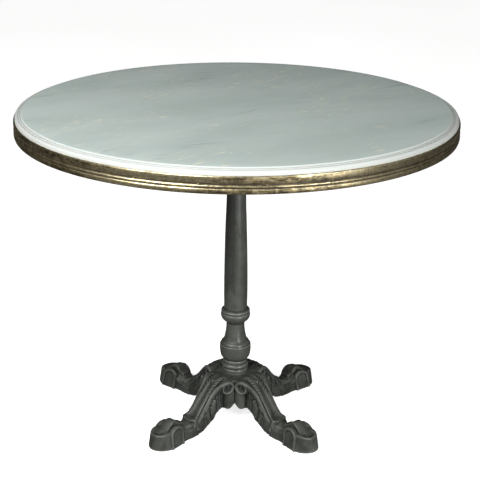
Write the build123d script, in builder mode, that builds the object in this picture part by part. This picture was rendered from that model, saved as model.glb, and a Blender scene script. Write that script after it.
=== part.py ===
"""Round cafe table: a marble slab in a brass-banded board, on a cast-iron column with four scrolled legs.

Frame: +Z up, origin on the floor under the column's axis, front towards -Y. Millimetres.
"""

from build123d import *
import os

os.makedirs("parts", exist_ok=True)

# ---------------------------------------------------------------- driving dimensions
TOP_Z = 750.0  # height of the marble's flat surface
MARBLE_R = 477.0  # marble's widest radius
MARBLE_T = 20.0
MARBLE_FLAT_R = 462.5  # where the flat ends and the edge moulding starts
DAB_T = 1.5  # silicone bedding under the slab
DAB_R = 18.0
DAB_PCR = 300.0
BOARD_T = 22.0
BOARD_R = 477.0
BAND_IN_R = 477.3
BAND_TOP_Z = 737.0
BAND_BOT_Z = 702.5
PIN_Z = 721.0  # brass pins sit in the band's main groove
PIN_COUNT = 24

MARBLE_BOT_Z = TOP_Z - MARBLE_T
BOARD_TOP_Z = MARBLE_BOT_Z - DAB_T
BOARD_BOT_Z = BOARD_TOP_Z - BOARD_T

ROD_R = 6.0  # M12 tie rod
ROD_HOLE_R = 6.6
SPIDER_T = 7.0
SPIDER_ARM = 192.0
SPIDER_BOSS_R = 34.0
COLUMN_TOP_Z = 686.0
SEAM_Z = 268.5  # joint between shaft and baluster, hidden under the upper bead
COLUMN_BOT_Z = 139.0
COLLAR_BOT_Z = 112.5
SPIGOT_R = 13.9
SOCKET_R = 14.0

LEG_GAP = 0.15  # half the gap between neighbouring leg castings
WALL = 7.0  # thickness of the leg casting's top, where the bolts pass
FOOT_Z = 2.0  # the castings stand this far off the floor, on their glides
GLIDE_R = 228.0  # distance of each glide from the column's axis
PAD_R = 11.5
STUD_R = 3.95  # M8
STUD_HOLE_R = 4.0
PLATE_TOP_Z = 56.0
PLATE_T = 6.0

LEGS = {"front_right": -45, "back_right": 45, "back_left": 135, "front_left": 225}


def save(part, name):
    part.label = name
    export_step(part, f"parts/{name}.step")


# ---------------------------------------------------------------- marble slab
with BuildPart() as marble_slab:
    with BuildSketch(Plane.XZ):
        with BuildLine():
            Polyline(
                (0, MARBLE_BOT_Z),
                (MARBLE_R - 1.0, MARBLE_BOT_Z),
                (MARBLE_R, MARBLE_BOT_Z + 1.0),
                (MARBLE_R, TOP_Z - 10.0),
            )
            # ovolo, quirk and small cove up to the flat
            ThreePointArc(
                (MARBLE_R, TOP_Z - 10.0),
                (MARBLE_R - 3.4, TOP_Z - 4.6),
                (MARBLE_R - 9.6, TOP_Z - 2.6),
            )
            ThreePointArc(
                (MARBLE_R - 9.6, TOP_Z - 2.6),
                (MARBLE_R - 12.2, TOP_Z - 2.2),
                (MARBLE_FLAT_R + 0.8, TOP_Z - 0.8),
            )
            ThreePointArc(
                (MARBLE_FLAT_R + 0.8, TOP_Z - 0.8),
                (MARBLE_FLAT_R + 0.56, TOP_Z - 0.23),
                (MARBLE_FLAT_R, TOP_Z),
            )
            Polyline((MARBLE_FLAT_R, TOP_Z), (0, TOP_Z), (0, MARBLE_BOT_Z))
        make_face()
    revolve(axis=Axis.Z)
save(marble_slab.part, "marble_slab")

# ---------------------------------------------------------------- silicone bedding dabs
with BuildPart() as silicone_dabs:
    with BuildSketch(Plane.XY.offset(BOARD_TOP_Z)):
        with PolarLocations(DAB_PCR, 8, start_angle=22.5):
            Circle(DAB_R)
        with PolarLocations(120, 4):
            Circle(DAB_R)
    extrude(amount=DAB_T)
save(silicone_dabs.part, "silicone_dabs")

# ---------------------------------------------------------------- board under the slab
SCREW_RADII = (92.0, 168.0)
SCREW_R = 2.4
with BuildPart() as plywood_board:
    with BuildSketch(Plane.XY.offset(BOARD_BOT_Z)):
        Circle(BOARD_R)
        Circle(20.0, mode=Mode.SUBTRACT)  # room for the tie rod's nut
    extrude(amount=BOARD_T)
    for radius in SCREW_RADII:
        with BuildSketch(Plane.XY.offset(BOARD_BOT_Z)):
            with PolarLocations(radius, 4):
                Circle(SCREW_R)
        extrude(amount=16.0, mode=Mode.SUBTRACT)
    for k in range(PIN_COUNT):
        ray = Vector(1, 0, 0).rotate(Axis.Z, (k + 0.5) * 360.0 / PIN_COUNT)
        start = ray * (BOARD_R - 10.0) + Vector(0, 0, PIN_Z)
        with BuildSketch(Plane(origin=start, z_dir=ray)):
            Circle(0.8)
        extrude(amount=12.0, mode=Mode.SUBTRACT)
save(plywood_board.part, "plywood_board")

# ---------------------------------------------------------------- brass band, one strip bent round, butt joint at the back
with BuildPart() as brass_band:
    with BuildSketch(Plane.XZ):
        with BuildLine():
            Polyline((BAND_IN_R, BAND_BOT_Z), (479.4, BAND_BOT_Z))
            ThreePointArc((479.4, BAND_BOT_Z), (480.6, 707.8), (479.7, 712.6))
            Polyline((479.7, 712.6), (478.8, 713.0), (478.8, 714.1))
            ThreePointArc((478.8, 714.1), (480.3, 716.9), (478.8, 719.6))
            Polyline((478.8, 719.6), (478.4, 719.9), (478.4, 722.1), (478.9, 722.4))
            ThreePointArc((478.9, 722.4), (480.2, 729.6), (479.5, 736.4))
            Polyline(
                (479.5, 736.4),
                (478.9, BAND_TOP_Z),
                (BAND_IN_R, BAND_TOP_Z),
                (BAND_IN_R, BAND_BOT_Z),
            )
        make_face()
    revolve(axis=Axis.Z)
    with Locations((0, 479.0, (BAND_TOP_Z + BAND_BOT_Z) / 2)):
        Box(0.4, 8.0, 60.0, mode=Mode.SUBTRACT)
    for k in range(PIN_COUNT):
        ray = Vector(1, 0, 0).rotate(Axis.Z, (k + 0.5) * 360.0 / PIN_COUNT)
        start = ray * (BAND_IN_R - 4.0) + Vector(0, 0, PIN_Z)
        with BuildSketch(Plane(origin=start, z_dir=ray)):
            Circle(0.85)
        extrude(amount=8.0, mode=Mode.SUBTRACT)
save(brass_band.part, "brass_band")

# ---------------------------------------------------------------- brass pins
with BuildPart() as band_pins:
    for k in range(PIN_COUNT):
        ray = Vector(1, 0, 0).rotate(Axis.Z, (k + 0.5) * 360.0 / PIN_COUNT)
        shank_start = ray * (BOARD_R - 10.0) + Vector(0, 0, PIN_Z)
        with BuildSketch(Plane(origin=shank_start, z_dir=ray)):
            Circle(0.8)
        extrude(amount=478.45 - (BOARD_R - 10.0))
        head_start = ray * 478.45 + Vector(0, 0, PIN_Z)
        with BuildSketch(Plane(origin=head_start, z_dir=ray)):
            Circle(1.05)
        extrude(amount=0.9, taper=25)
save(band_pins.part, "band_pins")

# ---------------------------------------------------------------- spider bracket under the board
with BuildPart() as spider_bracket:
    with BuildSketch(Plane.XY.offset(BOARD_BOT_Z - SPIDER_T)):
        with BuildLine():
            Polyline(
                (0, -19), (SPIDER_ARM - 14, -13), (SPIDER_ARM - 14, 13), (0, 19), (0, -19)
            )
        make_face()
        with Locations((SPIDER_ARM - 14, 0)):
            Circle(13)
        with BuildLine():
            Polyline(
                (0, -19),
                (-SPIDER_ARM + 14, -13),
                (-SPIDER_ARM + 14, 13),
                (0, 19),
                (0, -19),
            )
        make_face()
        with Locations((-SPIDER_ARM + 14, 0)):
            Circle(13)
        with BuildLine():
            Polyline(
                (-19, 0), (-13, SPIDER_ARM - 14), (13, SPIDER_ARM - 14), (19, 0), (-19, 0)
            )
        make_face()
        with Locations((0, SPIDER_ARM - 14)):
            Circle(13)
        with BuildLine():
            Polyline(
                (-19, 0),
                (-13, -SPIDER_ARM + 14),
                (13, -SPIDER_ARM + 14),
                (19, 0),
                (-19, 0),
            )
        make_face()
        with Locations((0, -SPIDER_ARM + 14)):
            Circle(13)
        Circle(SPIDER_BOSS_R + 6)
    extrude(amount=SPIDER_T)
    # stiffening ribs that run out along the arms
    for angle in (0, 90):
        with BuildSketch(Plane.XZ.rotated((0, 0, angle))):
            with BuildLine():
                Polyline(
                    (-82, BOARD_BOT_Z - SPIDER_T + 0.5),
                    (-SPIDER_BOSS_R + 4, COLUMN_TOP_Z + 3),
                    (SPIDER_BOSS_R - 4, COLUMN_TOP_Z + 3),
                    (82, BOARD_BOT_Z - SPIDER_T + 0.5),
                    (-82, BOARD_BOT_Z - SPIDER_T + 0.5),
                )
            make_face()
        extrude(amount=3.0, both=True)
    with BuildSketch(Plane.XY.offset(COLUMN_TOP_Z)):
        Circle(SPIDER_BOSS_R - 4)
    extrude(amount=BOARD_BOT_Z - COLUMN_TOP_Z - 2, taper=-8)
    with BuildSketch(Plane.XY.offset(COLUMN_TOP_Z)):
        Circle(SOCKET_R)
    extrude(amount=8.2, mode=Mode.SUBTRACT)
    with BuildSketch(Plane.XY.offset(COLUMN_TOP_Z - 1)):
        Circle(ROD_HOLE_R)
    extrude(amount=40, mode=Mode.SUBTRACT)
    for radius in SCREW_RADII:
        with BuildSketch(Plane.XY.offset(COLUMN_TOP_Z - 1)):
            with PolarLocations(radius, 4):
                Circle(2.7)
        extrude(amount=40, mode=Mode.SUBTRACT)
        # spot faces for the screw heads
        with BuildSketch(Plane.XY.offset(COLUMN_TOP_Z - 1)):
            with PolarLocations(radius, 4):
                Circle(6.2)
        extrude(
            amount=BOARD_BOT_Z - SPIDER_T - COLUMN_TOP_Z + 1 + 0.8, mode=Mode.SUBTRACT
        )
save(spider_bracket.part, "spider_bracket")

# ---------------------------------------------------------------- wood screws through the spider
HEAD_TOP_Z = BOARD_BOT_Z - SPIDER_T + 0.8
with BuildPart() as spider_screws:
    for radius in SCREW_RADII:
        for angle in (0, 90, 180, 270):
            at = Vector(radius, 0, 0).rotate(Axis.Z, angle)
            with BuildSketch(Plane.XY.offset(HEAD_TOP_Z - 3.4)):
                with Locations((at.X, at.Y)):
                    Circle(4.0)
            extrude(amount=3.4, taper=-18)
            with BuildSketch(Plane.XY.offset(HEAD_TOP_Z - 0.01)):
                with Locations((at.X, at.Y)):
                    Circle(SCREW_R)
            extrude(amount=BOARD_BOT_Z + 14.0 - HEAD_TOP_Z)
            # cross recess
            with Locations((at.X, at.Y, HEAD_TOP_Z - 3.4)):
                Box(4.6, 0.9, 3.6, mode=Mode.SUBTRACT)
                Box(0.9, 4.6, 3.6, mode=Mode.SUBTRACT)
save(spider_screws.part, "spider_screws")

# ---------------------------------------------------------------- tie rod, nuts and washers
ROD_BOT_Z = 33.0
ROD_TOP_Z = BOARD_BOT_Z + 17.0
with BuildPart() as tie_rod:
    with BuildSketch(Plane.XY.offset(ROD_BOT_Z)):
        Circle(ROD_R)
    extrude(amount=ROD_TOP_Z - ROD_BOT_Z)
    chamfer(tie_rod.edges().filter_by(GeomType.CIRCLE), length=1.0)
save(tie_rod.part, "tie_rod")


with BuildPart() as top_washer:
    with BuildSketch(Plane.XY.offset(BOARD_BOT_Z)):
        Circle(12.0)
        Circle(ROD_HOLE_R, mode=Mode.SUBTRACT)
    extrude(amount=2.5)
save(top_washer.part, "top_washer")

with BuildPart() as top_nut:
    with BuildSketch(Plane.XY.offset(BOARD_BOT_Z + 2.5)):
        RegularPolygon(9.5, 6, major_radius=False)
        Circle(ROD_R + 0.02, mode=Mode.SUBTRACT)
    extrude(amount=10.8)
save(top_nut.part, "top_nut")

with BuildPart() as bottom_washer:
    with BuildSketch(Plane.XY.offset(PLATE_TOP_Z - PLATE_T - 2.5)):
        Circle(12.0)
        Circle(ROD_HOLE_R, mode=Mode.SUBTRACT)
    extrude(amount=2.5)
save(bottom_washer.part, "bottom_washer")

with BuildPart() as bottom_nut:
    with BuildSketch(Plane.XY.offset(PLATE_TOP_Z - PLATE_T - 2.5 - 10.8)):
        RegularPolygon(9.5, 6, major_radius=False)
        Circle(ROD_R + 0.02, mode=Mode.SUBTRACT)
    extrude(amount=10.8)
save(bottom_nut.part, "bottom_nut")

with BuildPart() as clamp_plate:
    with BuildSketch(Plane.XY.offset(PLATE_TOP_Z - PLATE_T)):
        Circle(38.0)
        Circle(ROD_HOLE_R, mode=Mode.SUBTRACT)
    extrude(amount=PLATE_T)
    chamfer(
        clamp_plate.edges().filter_by(GeomType.CIRCLE).sort_by(SortBy.RADIUS)[-2:],
        length=1.0,
    )
save(clamp_plate.part, "clamp_plate")

# ---------------------------------------------------------------- column shaft: long taper with a capital ring, and the collar's upper bead
with BuildPart() as column_shaft:
    with BuildSketch(Plane.XZ):
        with BuildLine():
            Polyline((SOCKET_R + 0.0, SEAM_Z), (30.6, SEAM_Z))
            ThreePointArc((30.6, SEAM_Z), (31.4, 272.3), (28.2, 275.6))
            Polyline((28.2, 275.6), (26.6, 277.2))
            Spline(
                (26.6, 277.2),
                (26.9, 300.0),
                (27.0, 318.0),
                (26.8, 348.0),
                (26.4, 377.0),
                (25.9, 406.0),
                (25.2, 436.0),
                (24.5, 465.0),
                (23.6, 494.0),
                (22.8, 515.0),
                (21.9, 541.0),
                (20.9, 580.0),
                (20.2, 625.0),
                (20.0, 655.0),
            )
            # astragal and flared cap under the spider, hidden from the front by the top
            Polyline((20.0, 655.0), (20.6, 656.0))
            ThreePointArc((20.6, 656.0), (25.0, 660.0), (20.6, 664.0))
            Polyline((20.6, 664.0), (20.0, 665.5))
            ThreePointArc((20.0, 665.5), (22.6, 674.0), (30.0, 679.0))
            Polyline(
                (30.0, 679.0),
                (30.0, COLUMN_TOP_Z),
                (SPIGOT_R, COLUMN_TOP_Z),
                (SPIGOT_R, COLUMN_TOP_Z + 8.0),
                (7.2, COLUMN_TOP_Z + 8.0),
                (7.2, COLUMN_TOP_Z - 16.0),
                (13.5, COLUMN_TOP_Z - 34.0),
                (15.5, 560.0),
                (19.0, 440.0),
                (19.5, 300.0),
                (SOCKET_R, 284.0),
                (SOCKET_R, SEAM_Z),
            )
        make_face()
    revolve(axis=Axis.Z)
save(column_shaft.part, "column_shaft")

# ---------------------------------------------------------------- column baluster: lower bead, waisted neck and cup
with BuildPart() as column_baluster:
    with BuildSketch(Plane.XZ):
        with BuildLine():
            Polyline((SOCKET_R, COLUMN_BOT_Z), (24.4, COLUMN_BOT_Z), (25.0, 139.6))
            ThreePointArc((25.0, 139.6), (28.5, 143.2), (27.2, 146.2))
            Polyline((27.2, 146.2), (26.7, 146.6), (27.4, 147.2))
            ThreePointArc((27.4, 147.2), (33.9, 155.4), (35.9, 172.0))
            ThreePointArc((35.9, 172.0), (35.7, 180.0), (34.6, 185.4))
            Polyline((34.6, 185.4), (33.7, 186.2))
            ThreePointArc((33.7, 186.2), (30.6, 190.6), (27.2, 195.0))
            Spline(
                (27.2, 195.0),
                (24.6, 204.0),
                (22.6, 215.0),
                (21.4, 227.0),
                (21.1, 238.4),
            )
            Polyline((21.1, 238.4), (22.4, 240.6))
            ThreePointArc((22.4, 240.6), (33.9, 257.0), (31.6, 267.4))
            Polyline(
                (31.6, 267.4),
                (30.6, SEAM_Z),
                (SPIGOT_R, SEAM_Z),
                (SPIGOT_R, SEAM_Z + 10.0),
                (8.0, SEAM_Z + 10.0),
                (8.0, SEAM_Z - 14.0),
                (14.0, 228.0),
                (14.0, 202.0),
                (24.0, 178.0),
                (24.0, 166.0),
                (SOCKET_R, 148.0),
                (SOCKET_R, COLUMN_BOT_Z),
            )
        make_face()
    revolve(axis=Axis.Z)
save(column_baluster.part, "column_baluster")

# ---------------------------------------------------------------- hub collar: ring mouldings between the baluster and the legs
BOLT_PCR = 21.5
with BuildPart() as hub_collar:
    with BuildSketch(Plane.XZ):
        with BuildLine():
            Polyline(
                (ROD_HOLE_R, COLLAR_BOT_Z), (28.6, COLLAR_BOT_Z), (28.6, 113.2)
            )
            ThreePointArc((28.6, 113.2), (29.4, 118.8), (27.8, 124.2))
            Polyline((27.8, 124.2), (27.0, 124.6), (27.0, 126.6), (28.0, 127.0))
            ThreePointArc((28.0, 127.0), (30.4, 131.4), (27.8, 136.1))
            Polyline(
                (27.8, 136.1),
                (25.2, 137.4),
                (25.0, COLUMN_BOT_Z),
                (SPIGOT_R, COLUMN_BOT_Z),
                (SPIGOT_R, COLUMN_BOT_Z + 8.0),
                (ROD_HOLE_R, COLUMN_BOT_Z + 8.0),
                (ROD_HOLE_R, COLLAR_BOT_Z),
            )
        make_face()
    revolve(axis=Axis.Z)
    with BuildSketch(Plane.XY.offset(COLLAR_BOT_Z)):
        with PolarLocations(BOLT_PCR, 4, start_angle=45):
            Circle(4.0)
    extrude(amount=15.0, mode=Mode.SUBTRACT)
save(hub_collar.part, "hub_collar")

# ---------------------------------------------------------------- leg bolts and washers, from below into the collar
LUG_BOT_Z = COLLAR_BOT_Z - WALL
with BuildPart() as leg_bolts:
    for angle in LEGS.values():
        at = Vector(BOLT_PCR, 0, 0).rotate(Axis.Z, angle)
        with BuildSketch(Plane.XY.offset(LUG_BOT_Z - 1.6 - 5.3)):
            with Locations((at.X, at.Y)):
                RegularPolygon(6.5, 6, major_radius=False)
        extrude(amount=5.3)
        with BuildSketch(Plane.XY.offset(LUG_BOT_Z - 1.7)):
            with Locations((at.X, at.Y)):
                Circle(3.95)
        extrude(amount=1.7 + WALL + 13.0)
save(leg_bolts.part, "leg_bolts")

with BuildPart() as leg_washers:
    for angle in LEGS.values():
        at = Vector(BOLT_PCR, 0, 0).rotate(Axis.Z, angle)
        with BuildSketch(Plane.XY.offset(LUG_BOT_Z - 1.6)):
            with Locations((at.X, at.Y)):
                Circle(8.0)
                Circle(4.2, mode=Mode.SUBTRACT)
        extrude(amount=1.6)
save(leg_washers.part, "leg_washers")

# ---------------------------------------------------------------- one leg casting, lying along +X
SIDE_TOP = [
    (24.0, 112.5),
    (36.0, 112.5),
    (44.0, 115.5),
    (58.0, 116.5),
    (75.0, 107.0),
    (90.0, 96.0),
    (101.0, 84.5),
    (112.0, 72.5),
    (122.0, 62.0),
    (131.0, 53.0),
    (140.0, 48.0),
    (156.0, 48.0),
    (163.0, 43.5),
    (176.0, 42.0),
    (184.0, 46.5),
    (193.0, 56.0),
    (201.0, 59.5),
    (210.0, 57.0),
    (220.0, 49.0),
    (231.0, 42.0),
    (246.0, 38.5),
    (254.5, 35.5),
    (257.5, 30.0),
    (260.5, 12.0),
    (261.0, FOOT_Z),
]
SIDE_BOTTOM = [
    (150.0, FOOT_Z),
    (125.0, 7.0),
    (102.0, 19.0),
    (86.0, 26.0),
    (79.0, 36.0),
    (66.0, 42.0),
]
PLAN_HALF = [
    (24.0, 26.0),
    (110.0, 26.5),
    (150.0, 28.0),
    (185.0, 29.0),
    (200.0, 32.0),
    (218.0, 36.0),
    (236.0, 34.5),
    (250.0, 27.0),
    (259.0, 16.0),
    (262.0, 0.0),
]
CORE_TOP = [
    (20.0, LUG_BOT_Z),
    (60.0, LUG_BOT_Z),
    (75.0, 96.0),
    (88.0, 86.0),
    (107.0, 66.0),
    (122.0, 50.0),
    (134.0, 39.0),
    (150.0, 38.0),
    (166.0, 34.5),
    (180.0, 35.0),
    (196.0, 47.0),
    (206.0, 47.0),
    (216.0, 38.0),
    (236.0, 31.0),
    (249.0, 28.0),
    (253.0, -4.0),
]
CORE_HALF = [
    (20.0, 19.0),
    (110.0, 19.5),
    (150.0, 21.0),
    (185.0, 22.0),
    (200.0, 25.0),
    (218.0, 29.0),
    (234.0, 27.5),
    (245.0, 21.0),
    (254.0, 0.0),
]
WEB_R = 56.0  # flat outer face of the web between two legs
PILLAR_RAD = 13.5
PILLAR_R = 50.0  # pillar axis from the column axis, along the web's middle plane
VOLUTE_S = 14.0  # pillar and volute axis from the web's middle plane
VOLUTE_Z = 97.0
VOLUTE_RAD = 13.6
VOLUTE_FACE_R = 64.0
SKIRT_Z = 42.0
C45 = 2**-0.5
GAP_X = LEG_GAP / C45  # apex of the leg's 90-degree sector


def web_point(r, s, side):
    """Plan position from distance r along the web's middle plane and s off it, towards the leg."""
    return ((r + s) * C45, side * (r - s) * C45)


with BuildPart() as arm_core:
    with BuildSketch(Plane.XZ):
        with BuildLine():
            Polyline((20.0, -4.0), *CORE_TOP, (20.0, -4.0))
        make_face()
    extrude(amount=70, both=True)
    with BuildSketch(Plane.XY.offset(-4)):
        with BuildLine():
            Polyline(
                *[(x, -y) for x, y in CORE_HALF[:-1]],
                *reversed(CORE_HALF),
                (CORE_HALF[0][0], -CORE_HALF[0][1]),
            )
        make_face()
    extrude(amount=115, taper=6, mode=Mode.INTERSECT)

with BuildPart() as hub_core:
    with BuildSketch(Plane.XY.offset(-4)):
        with BuildLine():
            Polyline((7.0, -1.0), (37.0, -31.0), (47.0, -21.0), (47.0, 21.0), (37.0, 31.0), (7.0, 1.0), (7.0, -1.0))
        make_face()
    extrude(amount=LUG_BOT_Z + 4.0)

with BuildPart() as arm:
    with BuildSketch(Plane.XZ):
        with BuildLine():
            Polyline((24.0, 46.0), *SIDE_TOP, *SIDE_BOTTOM, (24.0, 46.0))
        make_face()
    extrude(amount=70, both=True)
    with BuildSketch(Plane.XY):
        with BuildLine():
            Polyline(
                *[(x, -y) for x, y in PLAN_HALF[:-1]],
                *reversed(PLAN_HALF),
                (PLAN_HALF[0][0], -PLAN_HALF[0][1]),
            )
        make_face()
    extrude(amount=125, taper=6, mode=Mode.INTERSECT)

with BuildPart() as leg_master:
    # hub sector
    with BuildSketch(Plane.XY.offset(SKIRT_Z)):
        with BuildLine():
            Polyline(
                (0.0, 0.0),
                web_point(WEB_R, 0.0, -1),
                web_point(WEB_R, 18.0, -1),
                web_point(WEB_R, 18.0, 1),
                web_point(WEB_R, 0.0, 1),
                (0.0, 0.0),
            )
        make_face()
    extrude(amount=COLLAR_BOT_Z - SKIRT_Z)
    add(arm.part)
    for side in (1, -1):
        with BuildSketch(Plane.XY.offset(SKIRT_Z - 3.0)):
            with Locations(web_point(PILLAR_R, VOLUTE_S, side)):
                Circle(PILLAR_RAD)
        extrude(amount=VOLUTE_Z - SKIRT_Z + 3.0)
        outward = Plane(
            origin=(0, 0, 0),
            x_dir=(-C45, side * C45, 0),
            z_dir=(C45, side * C45, 0),
        )
        up = 1 if side == 1 else -1
        # rolled end of the scroll, with its channel and eye
        with BuildSketch(outward.offset(34.0)):
            with Locations((-VOLUTE_S, up * VOLUTE_Z)):
                Ellipse(VOLUTE_RAD, 18.0)
        extrude(amount=VOLUTE_FACE_R - 34.0)
        with BuildSketch(outward.offset(VOLUTE_FACE_R)):
            with Locations((-VOLUTE_S, up * VOLUTE_Z)):
                Ellipse(10.6, 14.6)
                Ellipse(5.0, 6.4, mode=Mode.SUBTRACT)
        extrude(amount=-3.0, mode=Mode.SUBTRACT)
    # keep to the leg's own quarter
    with BuildSketch(Plane.XY.offset(-5)):
        with BuildLine():
            Polyline((GAP_X, 0), (300, 300 - GAP_X), (300, GAP_X - 300), (GAP_X, 0))
        make_face()
    extrude(amount=140, mode=Mode.INTERSECT)
    add(arm_core.part, mode=Mode.SUBTRACT)
    add(hub_core.part, mode=Mode.SUBTRACT)
    # seat for the clamp plate
    with BuildSketch(Plane.XY.offset(-5)):
        Circle(39.0)
    extrude(amount=PLATE_TOP_Z + 5, mode=Mode.SUBTRACT)
    # middle rib that bears on the clamp plate, and the tapped boss for the levelling glide
    with BuildSketch(Plane.XZ):
        with BuildLine():
            Polyline(
                (31.0, PLATE_TOP_Z),
                (37.0, PLATE_TOP_Z),
                (84.0, 66.0),
                (84.0, 90.0),
                (60.0, 105.0),
                (31.0, 105.0),
                (31.0, PLATE_TOP_Z),
            )
        make_face()
    extrude(amount=3.5, both=True)
    with BuildSketch(Plane.XY.offset(9.0)):
        with Locations((GLIDE_R, 0)):
            Circle(9.0)
    extrude(amount=27.0)
    with BuildSketch(Plane.XY):
        with Locations((GLIDE_R, 0)):
            Circle(STUD_HOLE_R)
    extrude(amount=36.0, mode=Mode.SUBTRACT)
    with BuildSketch(Plane.XY.offset(90)):
        with Locations((BOLT_PCR, 0)):
            Circle(4.3)
    extrude(amount=40.0, mode=Mode.SUBTRACT)
    # bore round the tie rod
    with BuildSketch(Plane.XY.offset(-5)):
        Circle(9.5)
    extrude(amount=140.0, mode=Mode.SUBTRACT)

for name, angle in LEGS.items():
    with BuildPart() as leg:
        with Locations(Location((0, 0, 0), (0, 0, angle))):
            add(leg_master.part)
    save(leg.part, f"leg_{name}")

# ---------------------------------------------------------------- levelling glides: a pad that slides, a stud that turns in it
for name, angle in LEGS.items():
    at = Vector(GLIDE_R, 0, 0).rotate(Axis.Z, angle)
    with BuildPart() as pad:
        with BuildSketch(Plane.XY):
            with Locations((at.X, at.Y)):
                Circle(PAD_R)
        extrude(amount=5.0)
        chamfer(pad.edges().group_by(Axis.Z)[-1], length=1.2)
        chamfer(pad.edges().group_by(Axis.Z)[0], length=0.5)
        with BuildSketch(Plane.XY.offset(1.5)):
            with Locations((at.X, at.Y)):
                Circle(STUD_R + 0.05)
        extrude(amount=10.0, mode=Mode.SUBTRACT)
    save(pad.part, f"glide_pad_{name}")
    with BuildPart() as stud:
        with BuildSketch(Plane.XY.offset(1.6)):
            with Locations((at.X, at.Y)):
                Circle(STUD_R)
        extrude(amount=30.4)
        chamfer(stud.edges().group_by(Axis.Z)[-1], length=0.8)
        with BuildSketch(Plane.XY.offset(5.05)):
            with Locations((at.X, at.Y)):
                RegularPolygon(6.5, 6, major_radius=False)
        extrude(amount=3.0)
    save(stud.part, f"glide_stud_{name}")
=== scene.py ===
"""Looks of the cafe table: turned marble, brass and iron meshes, and cast legs sculpted as a distance field."""

import math

import bpy
import numpy as np
from mathutils import Matrix, Vector


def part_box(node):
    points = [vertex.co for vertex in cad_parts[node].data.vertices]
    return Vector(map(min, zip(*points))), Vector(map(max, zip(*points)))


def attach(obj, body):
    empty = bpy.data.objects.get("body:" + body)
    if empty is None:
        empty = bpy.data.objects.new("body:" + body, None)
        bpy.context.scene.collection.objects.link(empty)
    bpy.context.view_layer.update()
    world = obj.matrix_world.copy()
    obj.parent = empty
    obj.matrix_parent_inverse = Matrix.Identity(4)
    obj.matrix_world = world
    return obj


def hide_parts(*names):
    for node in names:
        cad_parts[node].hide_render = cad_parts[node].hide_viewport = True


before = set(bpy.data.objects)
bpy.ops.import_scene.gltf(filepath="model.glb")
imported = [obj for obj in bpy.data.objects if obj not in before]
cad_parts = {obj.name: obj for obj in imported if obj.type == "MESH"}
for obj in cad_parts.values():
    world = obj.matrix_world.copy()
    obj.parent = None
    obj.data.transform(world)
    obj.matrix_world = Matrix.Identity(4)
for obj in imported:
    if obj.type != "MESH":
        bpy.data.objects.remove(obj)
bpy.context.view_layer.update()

rng = np.random.default_rng(7)

# ---------------------------------------------------------------- camera and light settings
LENS = 88.30
CAM_PLACE = (0.0, -2.50205, 1.36097)
CAM_ANGLES = (20.227, 0.202, 0.514)  # pitch down, yaw, roll
CAM_TURN = 0.842  # the whole view, about the column
FLOOR_GLOW = 0.80
WORLD_FRONT, WORLD_BACK = 0.44, 0.03
LIGHTS = [
    ("overhead", (-1.05, -1.6, 1.95), (-0.1, -0.1, 0.75), (1.3, 1.3), 84.0),
    ("key", (1.65, -2.4, 0.86), (0.0, 0.0, 0.30), (0.8, 1.2), 78.0),
    ("fill", (-2.2, -2.4, 1.1), (0.0, 0.0, 0.40), (0.5, 1.0), 1.5),
]

# ---------------------------------------------------------------- distance-field clay for the cast legs, in millimetres
S2 = math.sqrt(0.5)


def smin(a, b, k):
    h = np.maximum(k - np.abs(a - b), 0.0) / k
    return np.minimum(a, b) - h * h * k * 0.25


def smax(a, b, k):
    return -smin(-a, -b, k)


def soft_interp(x, pts, sigma=1.2):
    """Piecewise line through pts, with its corners rounded over about sigma."""
    px = np.array([p[0] for p in pts], float)
    py = np.array([p[1] for p in pts], float)
    out = np.zeros_like(x, dtype=float)
    total = 0.0
    for t in np.linspace(-2, 2, 9):
        w = math.exp(-0.5 * t * t)
        out = out + w * np.interp(x + t * sigma, px, py)
        total += w
    return out / total


def spline(points, step):
    """Points along a Catmull-Rom curve, about step apart. Extra columns (radius) follow along."""
    p = np.array(points, float)
    p = np.vstack([2 * p[0] - p[1], p, 2 * p[-1] - p[-2]])
    out = []
    for i in range(1, len(p) - 2):
        a, b, c, d = p[i - 1], p[i], p[i + 1], p[i + 2]
        n = max(1, int(np.linalg.norm((c - b)[:3]) / step))
        for k in range(n):
            t = k / n
            out.append(
                0.5
                * (
                    2 * b
                    + (c - a) * t
                    + (2 * a - 5 * b + 4 * c - d) * t * t
                    + (3 * b - a - 3 * c + d) * t**3
                )
            )
    out.append(p[-2])
    return np.array(out)


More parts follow.
